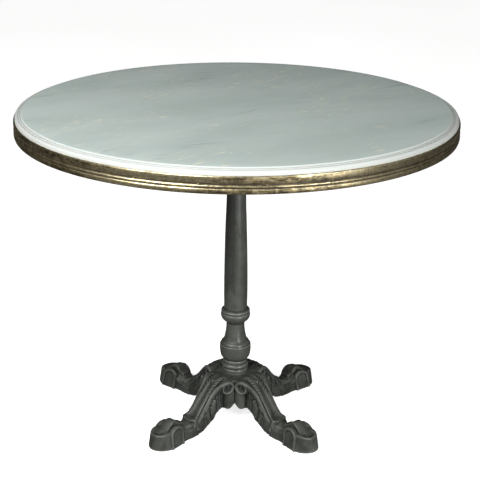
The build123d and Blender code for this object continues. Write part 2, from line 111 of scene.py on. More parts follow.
class Clay:
    """A signed distance field on a grid, in millimetres, worked with rounded strokes."""

    def __init__(self, lo, hi, h):
        self.h = h
        self.lo = np.array(lo, float)
        self.ax = [np.arange(a, b + h, h) for a, b in zip(lo, hi)]
        self.X = self.ax[0][:, None, None].astype(np.float32)
        self.Y = self.ax[1][None, :, None].astype(np.float32)
        self.Z = self.ax[2][None, None, :].astype(np.float32)
        self.F = None

    def window(self, lo, hi):
        s = []
        for k in range(3):
            a = int(max(0, math.floor((lo[k] - self.lo[k]) / self.h)))
            b = int(min(len(self.ax[k]), math.ceil((hi[k] - self.lo[k]) / self.h) + 1))
            if b <= a:
                return None
            s.append(slice(a, b))
        return tuple(s)

    def stroke(self, points, k=1.0, cut=False, step=2.5, squash=None, margin=2.0):
        """points: rows of (x, y, z, radius). Adds (or cuts) a round stroke along a smooth curve through them."""
        p = spline(points, step) if len(points) > 2 else np.array(points, float)
        if len(p) == 2:
            pass
        reach = p[:, 3].max() + k + margin
        lo, hi = p[:, :3].min(0) - reach, p[:, :3].max(0) + reach
        w = self.window(lo, hi)
        if w is None:
            return
        D = np.full(self.F[w].shape, 50.0, np.float32)
        base = [s.start for s in w]
        for i in range(len(p) - 1):
            a, b = p[i], p[i + 1]
            r2 = max(a[3], b[3]) + k + margin
            sw = self.window(np.minimum(a[:3], b[:3]) - r2, np.maximum(a[:3], b[:3]) + r2)
            if sw is None:
                continue
            local = tuple(slice(s.start - o, s.stop - o) for s, o in zip(sw, base))
            x, y, z = self.X[sw[0]], self.Y[:, sw[1]], self.Z[:, :, sw[2]]
            d = b[:3] - a[:3]
            L = float(d @ d)
            if L < 1e-9:
                t = np.float32(0.0)
            else:
                t = np.clip(
                    ((x - a[0]) * d[0] + (y - a[1]) * d[1] + (z - a[2]) * d[2]) / L, 0, 1
                )
            dist = (
                np.sqrt(
                    (x - a[0] - t * d[0]) ** 2
                    + (y - a[1] - t * d[1]) ** 2
                    + (z - a[2] - t * d[2]) ** 2
                )
                - (a[3] + t * (b[3] - a[3]))
            )
            D[local] = np.minimum(D[local], dist)
        if cut:
            self.F[w] = smax(self.F[w], -D, k)
        else:
            self.F[w] = smin(self.F[w], D, k)


ZT = [(20, 110), (38, 110.5), (46, 115), (58, 115.5), (68, 112), (78, 105), (90, 94.8), (101, 83.2), (112, 71.2), (122, 60.6), (129, 52.6), (135, 47.2), (141, 43.6), (147, 41.8), (160, 41.2)]
ZB = [(60, 40), (66, 39.5), (73, 38), (79, 35), (84, 29.5), (88, 25), (94, 21.5), (102, 17), (106, 14.5), (112, 9.5), (121, 5.0), (132, 2.6), (141, 2.0), (160, 2.0)]
RIDGE = [(20, 15.5), (60, 16.0), (90, 15.0), (120, 15.4), (132, 17.0), (141, 19.8), (148, 21.4), (160, 21.8)]  # half-width of the raised top
SIDE_LOW = [(20, 22.0), (58, 22.4), (66, 23.6), (76, 25.6), (90, 26.2), (110, 26.2), (146, 26.0), (160, 25.0)]
SIDE_HIGH = [(20, 36.0), (54, 34.0), (62, 32.4), (70, 30.2), (80, 28.0), (90, 26.6), (105, 26.2), (146, 26.0), (160, 25.0)]
# acanthus leaflets on the leg's side: (x, z, half-width) down each middle line, and how far it swells
LEAVES = [
    ([(115.0, 64, 1.0), (116.6, 57, 3.6), (118.0, 47, 4.4), (116.8, 32, 4.4), (114.0, 12, 4.0)], 2.8),
    ([(97.6, 80, 1.0), (98.4, 72, 3.8), (100.6, 62, 4.8), (100.8, 46, 4.6), (98.6, 30, 4.0)], 3.0),
    ([(124.0, 56, 1.0), (126.4, 47, 7.0), (129.4, 37, 11.6), (130.6, 24, 13.8), (130.0, 3, 14.4)], 4.2),
    ([(104.6, 74, 1.0), (108.0, 63, 6.4), (109.6, 51, 8.4), (107.6, 39, 8.0), (104.6, 26, 7.0), (102.0, 10, 6.0)], 5.0),
    ([(81.0, 84, 1.0), (79.2, 72, 3.4), (76.8, 58, 4.2), (74.6, 44, 4.4), (73.0, 30, 4.2)], 3.6),
    ([(74.6, 90, 1.0), (73.2, 77, 3.2), (70.6, 63, 3.8), (67.6, 50, 3.8), (64.8, 36, 3.4)], 3.8),
    ([(86.6, 80, 1.0), (88.6, 70, 7.0), (91.0, 58, 10.8), (92.0, 44, 10.0), (92.0, 30, 7.0), (91.6, 18, 5.6)], 6.6),
]
# small folded tips where the leaf leaves the scroll
TIPS = [
    ([(95.0, 83.0, 1.0), (91.6, 80.0, 3.2), (86.6, 77.0, 3.2), (83.0, 72.0, 1.2)], 4.4),
    ([(110.0, 69.0, 1.0), (106.6, 68.0, 3.2), (101.6, 66.5, 3.2), (98.6, 61.0, 1.2)], 4.0),
    ([(126.6, 52.0, 1.0), (123.6, 51.6, 2.8), (118.8, 50.0, 3.0), (115.0, 45.0, 1.2)], 3.4),
]


def relief(x2, z2, leaves):
    """Height of pointed leaflets laid one over another on the plane (x, z), the last on top, each with a gap cut round it."""
    out = np.zeros(np.broadcast(x2, z2).shape)
    for rows, lift in leaves:
        p = spline([(x, 0.0, z, w) for x, z, w in rows], 1.5)
        best = np.zeros_like(out)
        near = np.full_like(out, 1e9)
        inside = np.full_like(out, -1e9)
        for i in range(len(p) - 1):
            ax_, az_, aw = p[i, 0], p[i, 2], p[i, 3]
            dx, dz = p[i + 1, 0] - ax_, p[i + 1, 2] - az_
            t = np.clip(((x2 - ax_) * dx + (z2 - az_) * dz) / (dx * dx + dz * dz), 0, 1)
            d = np.hypot(x2 - ax_ - t * dx, z2 - az_ - t * dz)
            w = np.maximum(aw + t * (p[i + 1, 3] - aw), 0.6)
            q = d / w
            h = lift * np.minimum(1.0, w / 5.0) * (np.sqrt(np.clip(1 - np.minimum(q, 1.0) ** 3, 0, 1)) * 0.66 + 0.34 * np.clip(1 - q, 0, 1))
            best = np.maximum(best, h)
            near = np.minimum(near, q)
            inside = np.maximum(inside, w - d)
        out = np.maximum(best, out - 2.2 * np.clip(inside + 0.9, 0, 6))
    return out


VC = (55.4, 33.8, 96.0)  # centre of the scroll's face
VN = 72.0  # direction its face looks, from the leg's own axis


def leg_field(h, hollow=True):
    c = Clay((4.0, 0.0, -1.0), (265.0, 62.0, 124.0), h)
    X, Y, Z = c.X, c.Y, c.Z
    x2 = c.ax[0][:, None]
    z2 = c.ax[2][None, :]
    y2 = c.ax[1][None, :]
    f32 = np.float32

    zt = soft_interp(c.ax[0], ZT, 1.5)
    zb = soft_interp(c.ax[0], ZB, 1.2)
    wr = soft_interp(c.ax[0], RIDGE, 2.0)
    lowside = soft_interp(c.ax[0], SIDE_LOW, 2.0)
    highside = soft_interp(c.ax[0], SIDE_HIGH, 2.0)
    # body: a broad rounded shoulder, flared where it turns into the scroll
    drop = soft_interp(c.ax[0], [(40, 3.2), (70, 3.8), (90, 4.6), (115, 5.2), (130, 5.8), (140, 6.8), (150, 9.0), (160, 12.0)], 2.0)
    zs = zt - drop
    v = np.clip((z2 - 62.0) / 30.0, 0, 1)
    W = lowside[:, None] + (highside - lowside)[:, None] * (v * v * (3 - 2 * v))
    lean = np.clip((z2 - (zs[:, None] - 36.0)) / 36.0, 0, 1) * np.clip((x2 - 72.0) / 22.0, 0, 1) * np.clip((156.0 - x2) / 14.0, 0, 1)
    W = W - 4.0 * lean
    lift = relief(x2, z2, LEAVES + TIPS)
    # the leaflets fade out under the scroll's band
    fade = np.clip((zs[:, None] - 9.0 - z2) / 7.0, 0, 1)
    sink = np.clip((z2 - zb[:, None] - 1.0) / 13.0, 0, 1)
    sink = 0.25 + 0.75 * sink * sink * (3 - 2 * sink)
    lift = lift * (0.35 + 0.65 * fade) * np.clip((151.5 - x2) / 1.2, 0, 1) * sink
    inset = 4.6 * fade * np.clip((152.0 - x2) / 6.0, 0, 1)
    f_side = (Y - (W - inset + lift)[:, None, :]).astype(f32)
    f_top = ((Z - (zs[:, None] - 0.012 * np.maximum(y2 - 16, 0) ** 2)[:, :, None]) * 0.8).astype(f32)
    f_bot = ((zb[:, None, None] - Z) * 0.85).astype(f32)
    body = smax(f_side, f_top, 9.0)
    body = smax(body, f_bot, 1.2)
    body = smax(body, (X - 151.0) + 0 * body, 2.4)
    # raised top: two convex rolls with a channel between them that opens out at the folded tip
    deep = soft_interp(c.ax[0], [(36, 0.0), (44, 2.6), (60, 3.6), (100, 4.2), (125, 4.6), (139, 4.4), (145, 2.4), (150, 1.6), (160, 1.4)], 1.0)
    chan = soft_interp(c.ax[0], [(40, 7.0), (70, 7.6), (100, 8.4), (125, 10.0), (138, 14.5), (148, 17.5), (160, 17.5)], 2.0)
    u = np.clip(y2 / chan[:, None], 0, 1)
    T = zt[:, None] - deep[:, None] * (0.5 + 0.5 * np.cos(np.pi * u**1.25))
    T = T - 1.8 * np.clip((y2 - 0.5 * (wr + chan)[:, None]) / (wr - 0.5 * (wr + chan) + 0.5)[:, None], 0, 1.2) ** 2
    f_rt = ((Z - T[:, :, None]) * 0.8).astype(f32)
    f_rs = (Y - wr[:, None, None] - 0.30 * (zt[:, None, None] - Z)).astype(f32)
    f_end = (X - (154.5 - 8.0 * (Y / 23.0) ** 2)).astype(f32)
    ridge = smax(f_rt, f_rs, 3.0)
    ridge = smax(ridge, (zt[:, None, None] - 28.0 - Z).astype(f32), 2.0)
    ridge = smax(ridge, f_end, 1.8)
    leg = smin(body, ridge, 1.6)

    # ankle behind the paw: a low roof whose slopes meet the sides in a crease
    za = soft_interp(c.ax[0], [(130, 36.0), (155, 37.6), (163, 37.4), (170, 38.0), (178, 41.4), (186, 46.8), (200, 51)], 1.5)
    roof = za[:, None] - soft_interp(c.ax[1], [(0, 0), (7, 0.8), (24, 15.0), (40, 30)], 1.2)[None, :]
    f_ank_top = ((Z - roof[:, :, None]) * 0.75).astype(f32)
    wa = soft_interp(c.ax[0], [(120, 24.6), (150, 24.8), (158, 25.6), (170, 24.4), (186, 25.6), (200, 26)], 2.0)
    f_ank_side = (Y - (wa[:, None, None] + 0.7 - 0.06 * Z)).astype(f32)
    f_ank = smax(f_ank_top, f_ank_side, 1.4)
    f_ank = np.maximum(f_ank, np.maximum(138.0 - X, X - 200.0)).astype(f32)
    f_ank = smax(f_ank, (2.0 - Z).astype(f32) + 0 * f_ank, 1.0)

    # paw: toe block
    plan = [(184, 27.0), (200, 31.0), (214, 33.2), (228, 33.8), (238, 31.5), (247, 26.5), (254, 19.5), (258, 14.0), (261.0, 5.0), (261.6, 0.0)]
    pw = soft_interp(c.ax[0], plan, 1.6)
    f_plan = (Y - pw[:, None, None] + 0.0).astype(f32) * 0.85
    front = (X + 0.0 - (261.0 - 0.0016 * Y**3 * 0.35 - 0.0045 * Y**2)).astype(f32)
    f_plan = smax(f_plan, front, 6.0)
    f_plan = f_plan + 0.17 * Z
    rim = soft_interp(c.ax[0], [(180, 40), (225, 40.5), (236, 40.0), (248, 38.4), (262, 35.5)], 1.5)
    dish = 3.4 * np.clip(1 - ((c.ax[0][:, None] - 240.0) / 11.0) ** 2 - (y2 / 19.0) ** 2, 0, 1)
    f_toe_top = (Z - (rim[:, None] - dish)[:, :, None]).astype(f32)
    f_toe = smax(f_plan, f_toe_top, 3.2)
    f_toe = smax(f_toe, (184.0 - X) + 0 * f_toe, 1.5)
    f_toe = smax(f_toe, (2.0 - Z) + 0 * f_toe, 1.2)

    # the central strap that humps over the knuckle
    hz = soft_interp(c.ax[0], [(170, 40), (178, 44.5), (185, 46.4), (190, 51.0), (195, 55.4), (200, 57.6), (205, 57.0), (210, 54.2), (216, 49.4), (222, 45.0), (227, 42.0), (231, 40.5), (236, 38), (246, 35)], 1.2)
    hwid = soft_interp(c.ax[0], [(170, 9), (186, 11.0), (203, 11.5), (225, 14.0), (240, 16.0)], 2.0)
    crown = 0.9 * np.clip(y2 / 12.0, 0, 1) ** 2 - 1.9 * np.clip(1 - (y2 / 11.0) ** 2, 0, 1) * np.clip((c.ax[0][:, None] - 198) / 12.0, 0, 1)
    f_h_top = ((Z - (hz[:, None] - crown)[:, :, None]) * 0.8).astype(f32)
    f_h_side = (Y - hwid[:, None, None] - 0.05 * (60 - Z)).astype(f32)
    f_hump = smax(f_h_top, f_h_side, 2.4)
    f_hump = np.maximum(f_hump, np.maximum(172.0 - X, X - 243.0)).astype(f32)
    f_hump = np.maximum(f_hump, 20.0 - Z).astype(f32)

    # side toes: an arch in side view, standing a little proud of the block
    ax_, az_ = 206.0, 30.0
    ex = (c.ax[0][:, None] - ax_ + 0.07 * (z2 - 20)) / np.where(c.ax[0][:, None] > ax_, 21.0, 21.5)
    ez = np.maximum(z2 - az_, 0) / 19.0
    arch = (np.sqrt(ex**2 + ez**2) - 1.0) * 20.5
    ledge = np.interp(arch, [-30, -7.4, -5.8, -3.0, -0.5], [-1.6, -1.6, 0.3, 0.7, 0.0])
    wl = soft_interp(c.ax[0], [(180, 30.5), (195, 33.4), (210, 35.6), (222, 36.6), (230, 36.6)], 2.0)
    f_l_side = (Y - (wl[:, None, None] + ledge[:, None, :] - 0.19 * Z)).astype(f32)
    # its crown rounds over towards the strap
    fall = 0.09 * np.clip(21.0 - y2, 0, 30) ** 2
    f_l_arch = (arch[:, None, :] + fall[:, :, None]).astype(f32)
    f_lobe = smax(f_l_arch, f_l_side, 3.6)
    f_lobe = smax(f_lobe, (2.0 - Z) + 0 * f_lobe, 1.2)

    paw = smin(f_toe, f_lobe, 1.4)
    paw = smin(paw, f_hump, 1.6)

    # hub sector with the half-round pillars and the scroll's ground
    R = ((X + Y) * S2).astype(f32)
    S = ((X - Y) * S2).astype(f32)
    pillar = 46.0 + np.sqrt(np.maximum(14.2**2 - (S - 14.0) ** 2, 0.0))
    U = np.maximum(pillar, 47.6)
    U = np.where(Z > 90.0, np.minimum(np.maximum(U, 53.0), 56.5), U)
    low = 40.5 + 9.0 * np.exp(-((S / 7.5) ** 2)) - 0.6 * np.exp(-(((S - 14) / 6) ** 2))
    top = np.interp(R, [0, 31, 42, 54, 62, 70], [112.5, 112.5, 111.4, 110.2, 109.4, 108.5])
    f_hub = smax((R - U).astype(f32), ((Z - top) * 0.97).astype(f32), 1.6)
    f_hub = smax(f_hub, (low - Z).astype(f32), 1.2)
    f_hub = np.maximum(f_hub, X - 76.0).astype(f32)
    # the scroll's disc stands nearly parallel to the leg's side
    n1, n2 = math.cos(math.radians(VN)), math.sin(math.radians(VN))
    A = (X - VC[0]) * n2 - (Y - VC[1]) * n1
    N = (X - VC[0]) * n1 + (Y - VC[1]) * n2
    B = Z - VC[2]
    rho = np.sqrt(A**2 + B**2)
    f_disc = smax((rho - 16.8).astype(f32), (N - 0.0).astype(f32) + 0 * rho, 1.2)
    f_disc = np.maximum(f_disc, -26.0 - N)
    f_hub = smin(f_hub, f_disc.astype(f32), 2.0)

    c.F = smin(leg, f_hub, 5.0)
    c.F = smin(c.F, f_ank, 0.8)
    c.F = smin(c.F, paw, 1.0)
    c.F = c.F.astype(f32)

    def on_disc(a, b, out, r):
        return (VC[0] + a * n2 + out * n1, VC[1] - a * n1 + out * n2, VC[2] + b, r)

    def turn(degrees, radius, out, r):
        # round the scroll's centre, from its top over the side next to the mid-plane
        t = math.radians(degrees)
        return on_disc(-radius * math.sin(t), radius * math.cos(t), out, r)

    # bowl of the scroll's eye
    c.stroke([on_disc(0.6, -0.6, 6.6, 12.2), on_disc(0.2, -1.4, 6.6, 12.2)], k=0.7, cut=True)
    # the scroll: from the leaf tip at the ankle, up along the leg's shoulder, over the web and round its eye
    band = []
    for x, y, r, proud in ((116, 17.4, 3.8, -1.6), (107, 17.4, 4.8, -0.8), (98, 17.8, 5.4, 0.2), (90, 18.8, 5.8, 1.0), (81, 21.4, 5.8, 1.8), (72, 25.8, 5.1, 2.3)):
        band.append((x, y, float(np.interp(x, c.ax[0], zs)) + proud - r, r))
    band += [
        on_disc(7.6, 11.4, -1.5, 5.0), turn(0, 12.9, -0.9, 4.5), turn(42, 13.1, -0.4, 3.9), turn(88, 13.4, 0.1, 3.1), turn(135, 13.4, 0.2, 2.6),
        turn(180, 13.5, 0.3, 2.3), turn(225, 13.3, 0.2, 2.2), turn(268, 12.4, 0.0, 2.2), turn(312, 10.4, -0.6, 2.2), turn(358, 7.4, -1.6, 2.0),
        turn(402, 5.9, -3.0, 1.7), turn(446, 4.9, -4.1, 1.4), turn(492, 3.4, -5.2, 1.0),
    ]
    c.stroke(band, k=0.9, step=1.6)
    # the dark gap between its two turns, and round the outside of the lower one
    c.stroke([turn(288, 16.0, -0.2, 1.1), turn(304, 14.4, 0.2, 1.5), turn(330, 11.6, 0.2, 1.5), turn(358, 9.9, -0.2, 1.3), turn(388, 9.2, -0.9, 1.4), turn(418, 8.6, -1.6, 1.5), turn(448, 8.0, -2.2, 1.4), turn(490, 6.8, -3.2, 1.0)], k=0.35, cut=True, step=1.5)
    c.stroke([turn(150, 17.6, -0.6, 0.8), turn(185, 17.4, 0.2, 1.4), turn(225, 17.2, 0.4, 1.6), turn(262, 16.4, 0.2, 1.6), turn(288, 16.0, -0.2, 1.1)], k=0.5, cut=True, step=1.5)
    # crevice between the pillar and the leaf beside it
    c.stroke([(61.5, 24.6, 84.0, 1.4), (60.6, 23.6, 76.0, 2.6), (59.6, 22.6, 62.0, 3.0), (59.2, 22.2, 46.0, 3.0), (59.0, 22.0, 36.0, 3.0)], k=1.0, cut=True, step=3.0)
    # groove between the leg's raised top and the scroll
    groove = []
    for x in (46, 54, 62, 71, 80, 90, 100, 110, 120, 130, 138):
        q = lambda table: float(np.interp(x, c.ax[0], table))
        groove.append((x, q(wr) + float(np.interp(x, [60, 80], [2.3, 1.0])), q(zs) + float(np.interp(x, [60, 80], [-0.7, 0.4])), float(np.interp(x, [46, 60, 80, 110, 138], [1.4, 2.4, 1.6, 1.5, 0.9]))))
    c.stroke(groove, k=1.0, cut=True, step=2.5)

    # short gadroons on the raised edge by the hub
    for i in range(7):
        x = 52.5 + 7.1 * i
        zr = lambda q: float(np.interp(q, c.ax[0], zt))
        c.stroke([(x + 4.4, 8.4, zr(x + 4.4) + 0.8, 1.0), (x + 2.4, 11.4, zr(x + 2.4) + 0.4, 1.7), (x - 0.2, 14.6, zr(x - 0.2) - 0.2, 1.9), (x - 0.8, 16.4, zr(x - 0.8) - 1.0, 1.3)], k=0.8, cut=True, step=1.5)

    # slanting crease across the ankle's side
    c.stroke([(153.0, 27.6, 31.5, 1.0), (166.0, 27.2, 26.5, 1.5), (181.0, 27.8, 21.0, 1.5)], k=2.4, cut=True, step=2.5)

    if hollow:
        wi = np.minimum(W - 10.0, 15.5)
        zi = zs - 13.0
        inner = smax((Y - wi[:, None, :]).astype(f32), ((Z - zi[:, None, None]) * 0.8).astype(f32), 5.0)
        inner = np.maximum(inner, X - 142.0)
        inner = np.maximum(inner, 22.0 - X)
        inner2 = smax((Y - (wa[:, None, None] - 9.0)).astype(f32), ((Z - 29.0)).astype(f32) + 0 * inner, 5.0)
        inner2 = np.maximum(inner2, np.maximum(134.0 - X, X - 196.0))
        pw2 = soft_interp(c.ax[0], [(184, 15.0), (200, 19.0), (214, 22.0), (228, 22.5), (238, 19.0), (245, 12), (250, 4.0), (253, -8)], 1.6)
        inner3 = smax((Y - pw2[:, None, None]).astype(f32) + 0.17 * Z, ((Z - soft_interp(c.ax[0], [(180, 30), (190, 38), (200, 46), (210, 42), (220, 34), (230, 28), (262, 25)], 2.0)[:, None, None])).astype(f32), 5.0)
        inner3 = np.maximum(inner3, np.maximum(180.0 - X, X - 256.0))
        hub_in = smax((R - 40.0), (Z - 105.5) + 0 * R, 4.0)
        hub_in = smax(hub_in, (6.2 - S) + 0 * hub_in, 3.0)
        hub_in = np.maximum(hub_in, X - 66.0)
        inner = smin(smin(inner, inner2, 4.0), smin(inner3, hub_in, 4.0), 4.0)
        c.F = smax(c.F, -inner.astype(f32), 1.5)
        # seat over the clamp plate
        rad = np.sqrt(X**2 + Y**2)
        seat = np.maximum(rad - 39.0, Z - 56.0)
        c.F = np.maximum(c.F, -seat)
        # rib on the clamp plate, boss for the glide
        rib = np.maximum(np.maximum(Y - 3.5, np.maximum(31.0 - X, X - 84.0)), np.maximum(56.0 + np.maximum(X - 37.0, 0) * 0.21 - Z, Z - np.minimum(104.0, 118.0 - 0.45 * np.maximum(X - 31, 0))))
        c.F = smin(c.F, rib.astype(f32), 1.0)
        boss_d = np.sqrt((X - 228.0) ** 2 + Y**2)
        boss = np.maximum(boss_d - 9.0, np.maximum(9.0 - Z, Z - 36.0))
        c.F = smin(c.F, boss.astype(f32), 1.0)
        c.F = np.maximum(c.F, -np.maximum(boss_d - 4.4, Z - 36.0))
        bolt_d = np.sqrt((X - 21.5) ** 2 + Y**2)
        c.F = np.maximum(c.F, 4.5 - bolt_d + 0 * Z)
        c.F = np.maximum(c.F, 9.6 - rad + 0 * Z)
    # keep to the quarter, and off the floor
    c.F = np.maximum(c.F, ((0.01 - S) + 0 * Z).astype(f32))
    c.F = np.maximum(c.F, 2.0 - Z).astype(f32)
    return c


# ---------------------------------------------------------------- mesh helpers
def add_mesh(name, verts, faces, material, cavity=None, smooth=True, sharp=None):
    mesh = bpy.data.meshes.new(name)
    verts = np.asarray(verts, np.float32)
    faces = np.asarray(faces, np.int32)
    mesh.vertices.add(len(verts))
    mesh.vertices.foreach_set("co", verts.ravel())
    n = faces.shape[1]
    mesh.loops.add(faces.size)
    mesh.loops.foreach_set("vertex_index", faces.ravel())
    mesh.polygons.add(len(faces))
    mesh.polygons.foreach_set("loop_start", np.arange(0, faces.size, n, dtype=np.int32))
    mesh.polygons.foreach_set("use_smooth", np.full(len(faces), smooth))
    if cavity is not None:
        mesh.attributes.new("cavity", "FLOAT", "POINT").data.foreach_set(
            "value", np.asarray(cavity, np.float32)
        )
    mesh.validate()
    mesh.update()
    if sharp is not None:
        mesh.set_sharp_from_angle(angle=math.radians(sharp))
    mesh.materials.append(material)
    obj = bpy.data.objects.new(name, mesh)
    bpy.context.scene.collection.objects.link(obj)
    return obj


def resample(profile, step):
    """Points no further than step apart along a polyline, its own corners kept."""
    out = []
    for (r0, z0), (r1, z1) in zip(profile[:-1], profile[1:]):
        n = max(1, int(math.ceil(math.hypot(r1 - r0, z1 - z0) / step)))
        for k in range(n):
            t = k / n
            out.append((r0 + (r1 - r0) * t, z0 + (z1 - z0) * t))
    out.append(profile[-1])
    return out


def arc(centre, radius, a0, a1, n=8):
    """Points of a circular arc in the profile plane, angles in degrees."""
    return [
        (
            centre[0] + radius * math.cos(math.radians(a0 + (a1 - a0) * k / n)),
            centre[1] + radius * math.sin(math.radians(a0 + (a1 - a0) * k / n)),
        )
        for k in range(n + 1)
    ]


def curve_profile(points, step):
    """A smooth curve through the points, about step apart."""
    p = spline([(r, 0.0, z, 0.0) for r, z in points], step)
    return [(float(a[0]), float(a[2])) for a in p]


def profile_cavity(profile, reach):
    """How far each profile point lies inside (+) or outside (-) its neighbourhood, as a share of reach."""
    p = np.array(profile)
    d = np.zeros(len(p))
    d[1:] = np.cumsum(np.hypot(*(p[1:] - p[:-1]).T))
    t = np.gradient(p, axis=0)
    t /= np.maximum(np.hypot(t[:, 0], t[:, 1])[:, None], 1e-12)
    normal = np.stack([t[:, 1], -t[:, 0]], 1)
    out = np.zeros(len(p))
    for s in (-1.0, -0.5, 0.5, 1.0):
        q = np.stack([np.interp(d + s * reach, d, p[:, k]) for k in (0, 1)], 1)
        out += ((q - p) * normal).sum(1) / 4
    return np.clip(out / (0.35 * reach), -1, 1)


def lathe(name, profile, material, segments=192, wobble=0.0, reach=0.003, gap=0.0, sharp=38, seed=0):
    """Turns a profile of (r, z), in metres, listed from the bottom up the outside and back down inside, into a closed ring.

    With a gap, in radians, the ring is open at +Y and its two ends are closed."""
    p = np.array(profile, float)
    axis = (p[:, 0] < 1e-9)
    n = len(p)
    if gap:
        angles = np.linspace(math.pi / 2 + gap / 2, math.pi / 2 + 2 * math.pi - gap / 2, segments + 1)
    else:
        angles = np.arange(segments) * 2 * math.pi / segments
    m = len(angles)
    r = np.repeat(p[:, 0][None], m, 0)
    z = np.repeat(p[:, 1][None], m, 0)
    if wobble:
        local = np.random.default_rng(seed)
        dr = np.zeros((m, n))
        for k in range(1, 14):
            phase, phase2 = local.uniform(0, 2 * math.pi, 2)
            amp = wobble * local.uniform(0.3, 1.0) / (1 + 0.25 * k)
            dr += amp * np.sin(k * angles[:, None] + phase + (z - p[0, 1]) * 30.0 * math.sin(phase2))
        r = np.where(r > 1e-6, r + dr * np.clip(r / 0.02, 0, 1), r)
    co = np.stack([r * np.cos(angles)[:, None], r * np.sin(angles)[:, None], z], 2).reshape(-1, 3)
    i = np.arange(m if not gap else m - 1)[:, None]
    j = np.arange(n - 1 if not gap else n)[None]
    i1 = (i + 1) % m
    j1 = (j + 1) % n
    quads = np.stack([i * n + j, i1 * n + j, i1 * n + j1, i * n + j1], 2).reshape(-1, 4)
    cav = np.repeat(profile_cavity(profile, reach)[None], m, 0).ravel()
    obj = add_mesh(name, co, quads, material, cavity=cav)
    if gap or axis.any():
        import bmesh

        bm = bmesh.new()
        bm.from_mesh(obj.data)
        if axis.any():
            bmesh.ops.remove_doubles(bm, verts=[v for v in bm.verts if math.hypot(v.co.x, v.co.y) < 1e-7], dist=1e-6)
        if gap:
            bmesh.ops.holes_fill(bm, edges=[e for e in bm.edges if e.is_boundary], sides=0)
        bmesh.ops.recalc_face_normals(bm, faces=bm.faces)
        bm.to_mesh(obj.data)
        bm.free()
        obj.data.polygons.foreach_set("use_smooth", [True] * len(obj.data.polygons))
    obj.data.set_sharp_from_angle(angle=math.radians(sharp))
    return obj


def surface_nets(F, lo, h):
    """Quads over the zero surface of a grid of distances, facing outwards, with vertices pulled on to the surface."""
    inside = F < 0
    cnt = np.zeros(np.array(F.shape) - 1, np.int8)
    for di in (0, 1):
        for dj in (0, 1):
            for dk in (0, 1):
                cnt += inside[di : F.shape[0] - 1 + di, dj : F.shape[1] - 1 + dj, dk : F.shape[2] - 1 + dk]
    active = (cnt > 0) & (cnt < 8)
    cells = np.argwhere(active)
    index = np.full(active.shape, -1, np.int64)
    index[active] = np.arange(len(cells))
    total = np.zeros((len(cells), 3))
    count = np.zeros(len(cells))
    corners = [(a, b, c) for a in (0, 1) for b in (0, 1) for c in (0, 1)]
    for a in corners:
        for axis in range(3):
            if a[axis]:
                continue
            b = tuple(a[k] + (k == axis) for k in range(3))
            fa = F[cells[:, 0] + a[0], cells[:, 1] + a[1], cells[:, 2] + a[2]]
            fb = F[cells[:, 0] + b[0], cells[:, 1] + b[1], cells[:, 2] + b[2]]
            hit = (fa < 0) != (fb < 0)
            t = np.where(hit, fa / np.where(hit, fa - fb, 1), 0)
            pos = np.array(a, float)[None].repeat(len(cells), 0)
            pos[:, axis] += t
            total += pos * hit[:, None]
            count += hit
    pts = cells + total / count[:, None]
    quads = []
    for axis in range(3):
        b, c = (axis + 1) % 3, (axis + 2) % 3
        sl = [slice(None)] * 3
        sl2 = [slice(None)] * 3
        sl[axis], sl2[axis] = slice(0, -1), slice(1, None)
        change = inside[tuple(sl)] != inside[tuple(sl2)]
        rim = np.zeros_like(change)
        keep = [slice(None)] * 3
        keep[b], keep[c] = slice(1, -1), slice(1, -1)
        rim[tuple(keep)] = True
        edges = np.argwhere(change & rim)
        starts_in = inside[edges[:, 0], edges[:, 1], edges[:, 2]]
        eb, ec = np.zeros(3, int), np.zeros(3, int)
        eb[b], ec[c] = 1, 1
        q = [edges, edges - eb, edges - eb - ec, edges - ec]
        ids = np.stack([index[v[:, 0], v[:, 1], v[:, 2]] for v in q], 1)
        ids[~starts_in] = ids[~starts_in][:, ::-1]
        quads.append(ids)
    quads = np.concatenate(quads)

    def sample(field, p):
        i = np.clip(np.floor(p).astype(int), 0, np.array(field.shape) - 2)
        t = p - i
        out = 0
        for a in corners:
            w = np.prod([t[:, k] if a[k] else 1 - t[:, k] for k in range(3)], axis=0)
            out = out + w * field[i[:, 0] + a[0], i[:, 1] + a[1], i[:, 2] + a[2]]
        return out

    for _ in range(2):
        f = sample(F, pts)
        e = 0.5
        g = np.stack(
            [sample(F, pts + e * np.eye(3)[k]) - sample(F, pts - e * np.eye(3)[k]) for k in range(3)], 1
        ) / (2 * e)
        g2 = (g**2).sum(1)
        step = g * (f / np.maximum(g2, 0.05))[:, None]
        size = np.linalg.norm(step, axis=1, keepdims=True)
        pts = pts - 0.7 * step * np.minimum(1, 0.45 / np.maximum(size, 1e-9))
    return pts, quads, sample


def blur(F, n):
    """Box blur over n cells each way along each axis, edges held."""
    for axis in range(3):
        pad = [(0, 0)] * 3
        pad[axis] = (n + 1, n)
        c = np.cumsum(np.pad(F, pad, mode="edge"), axis=axis, dtype=np.float64)
        hi = [slice(None)] * 3
        lo = [slice(None)] * 3
        hi[axis], lo[axis] = slice(2 * n + 1, None), slice(0, -(2 * n + 1))
        F = (c[tuple(hi)] - c[tuple(lo)]) / (2 * n + 1)
    return F.astype(np.float32)


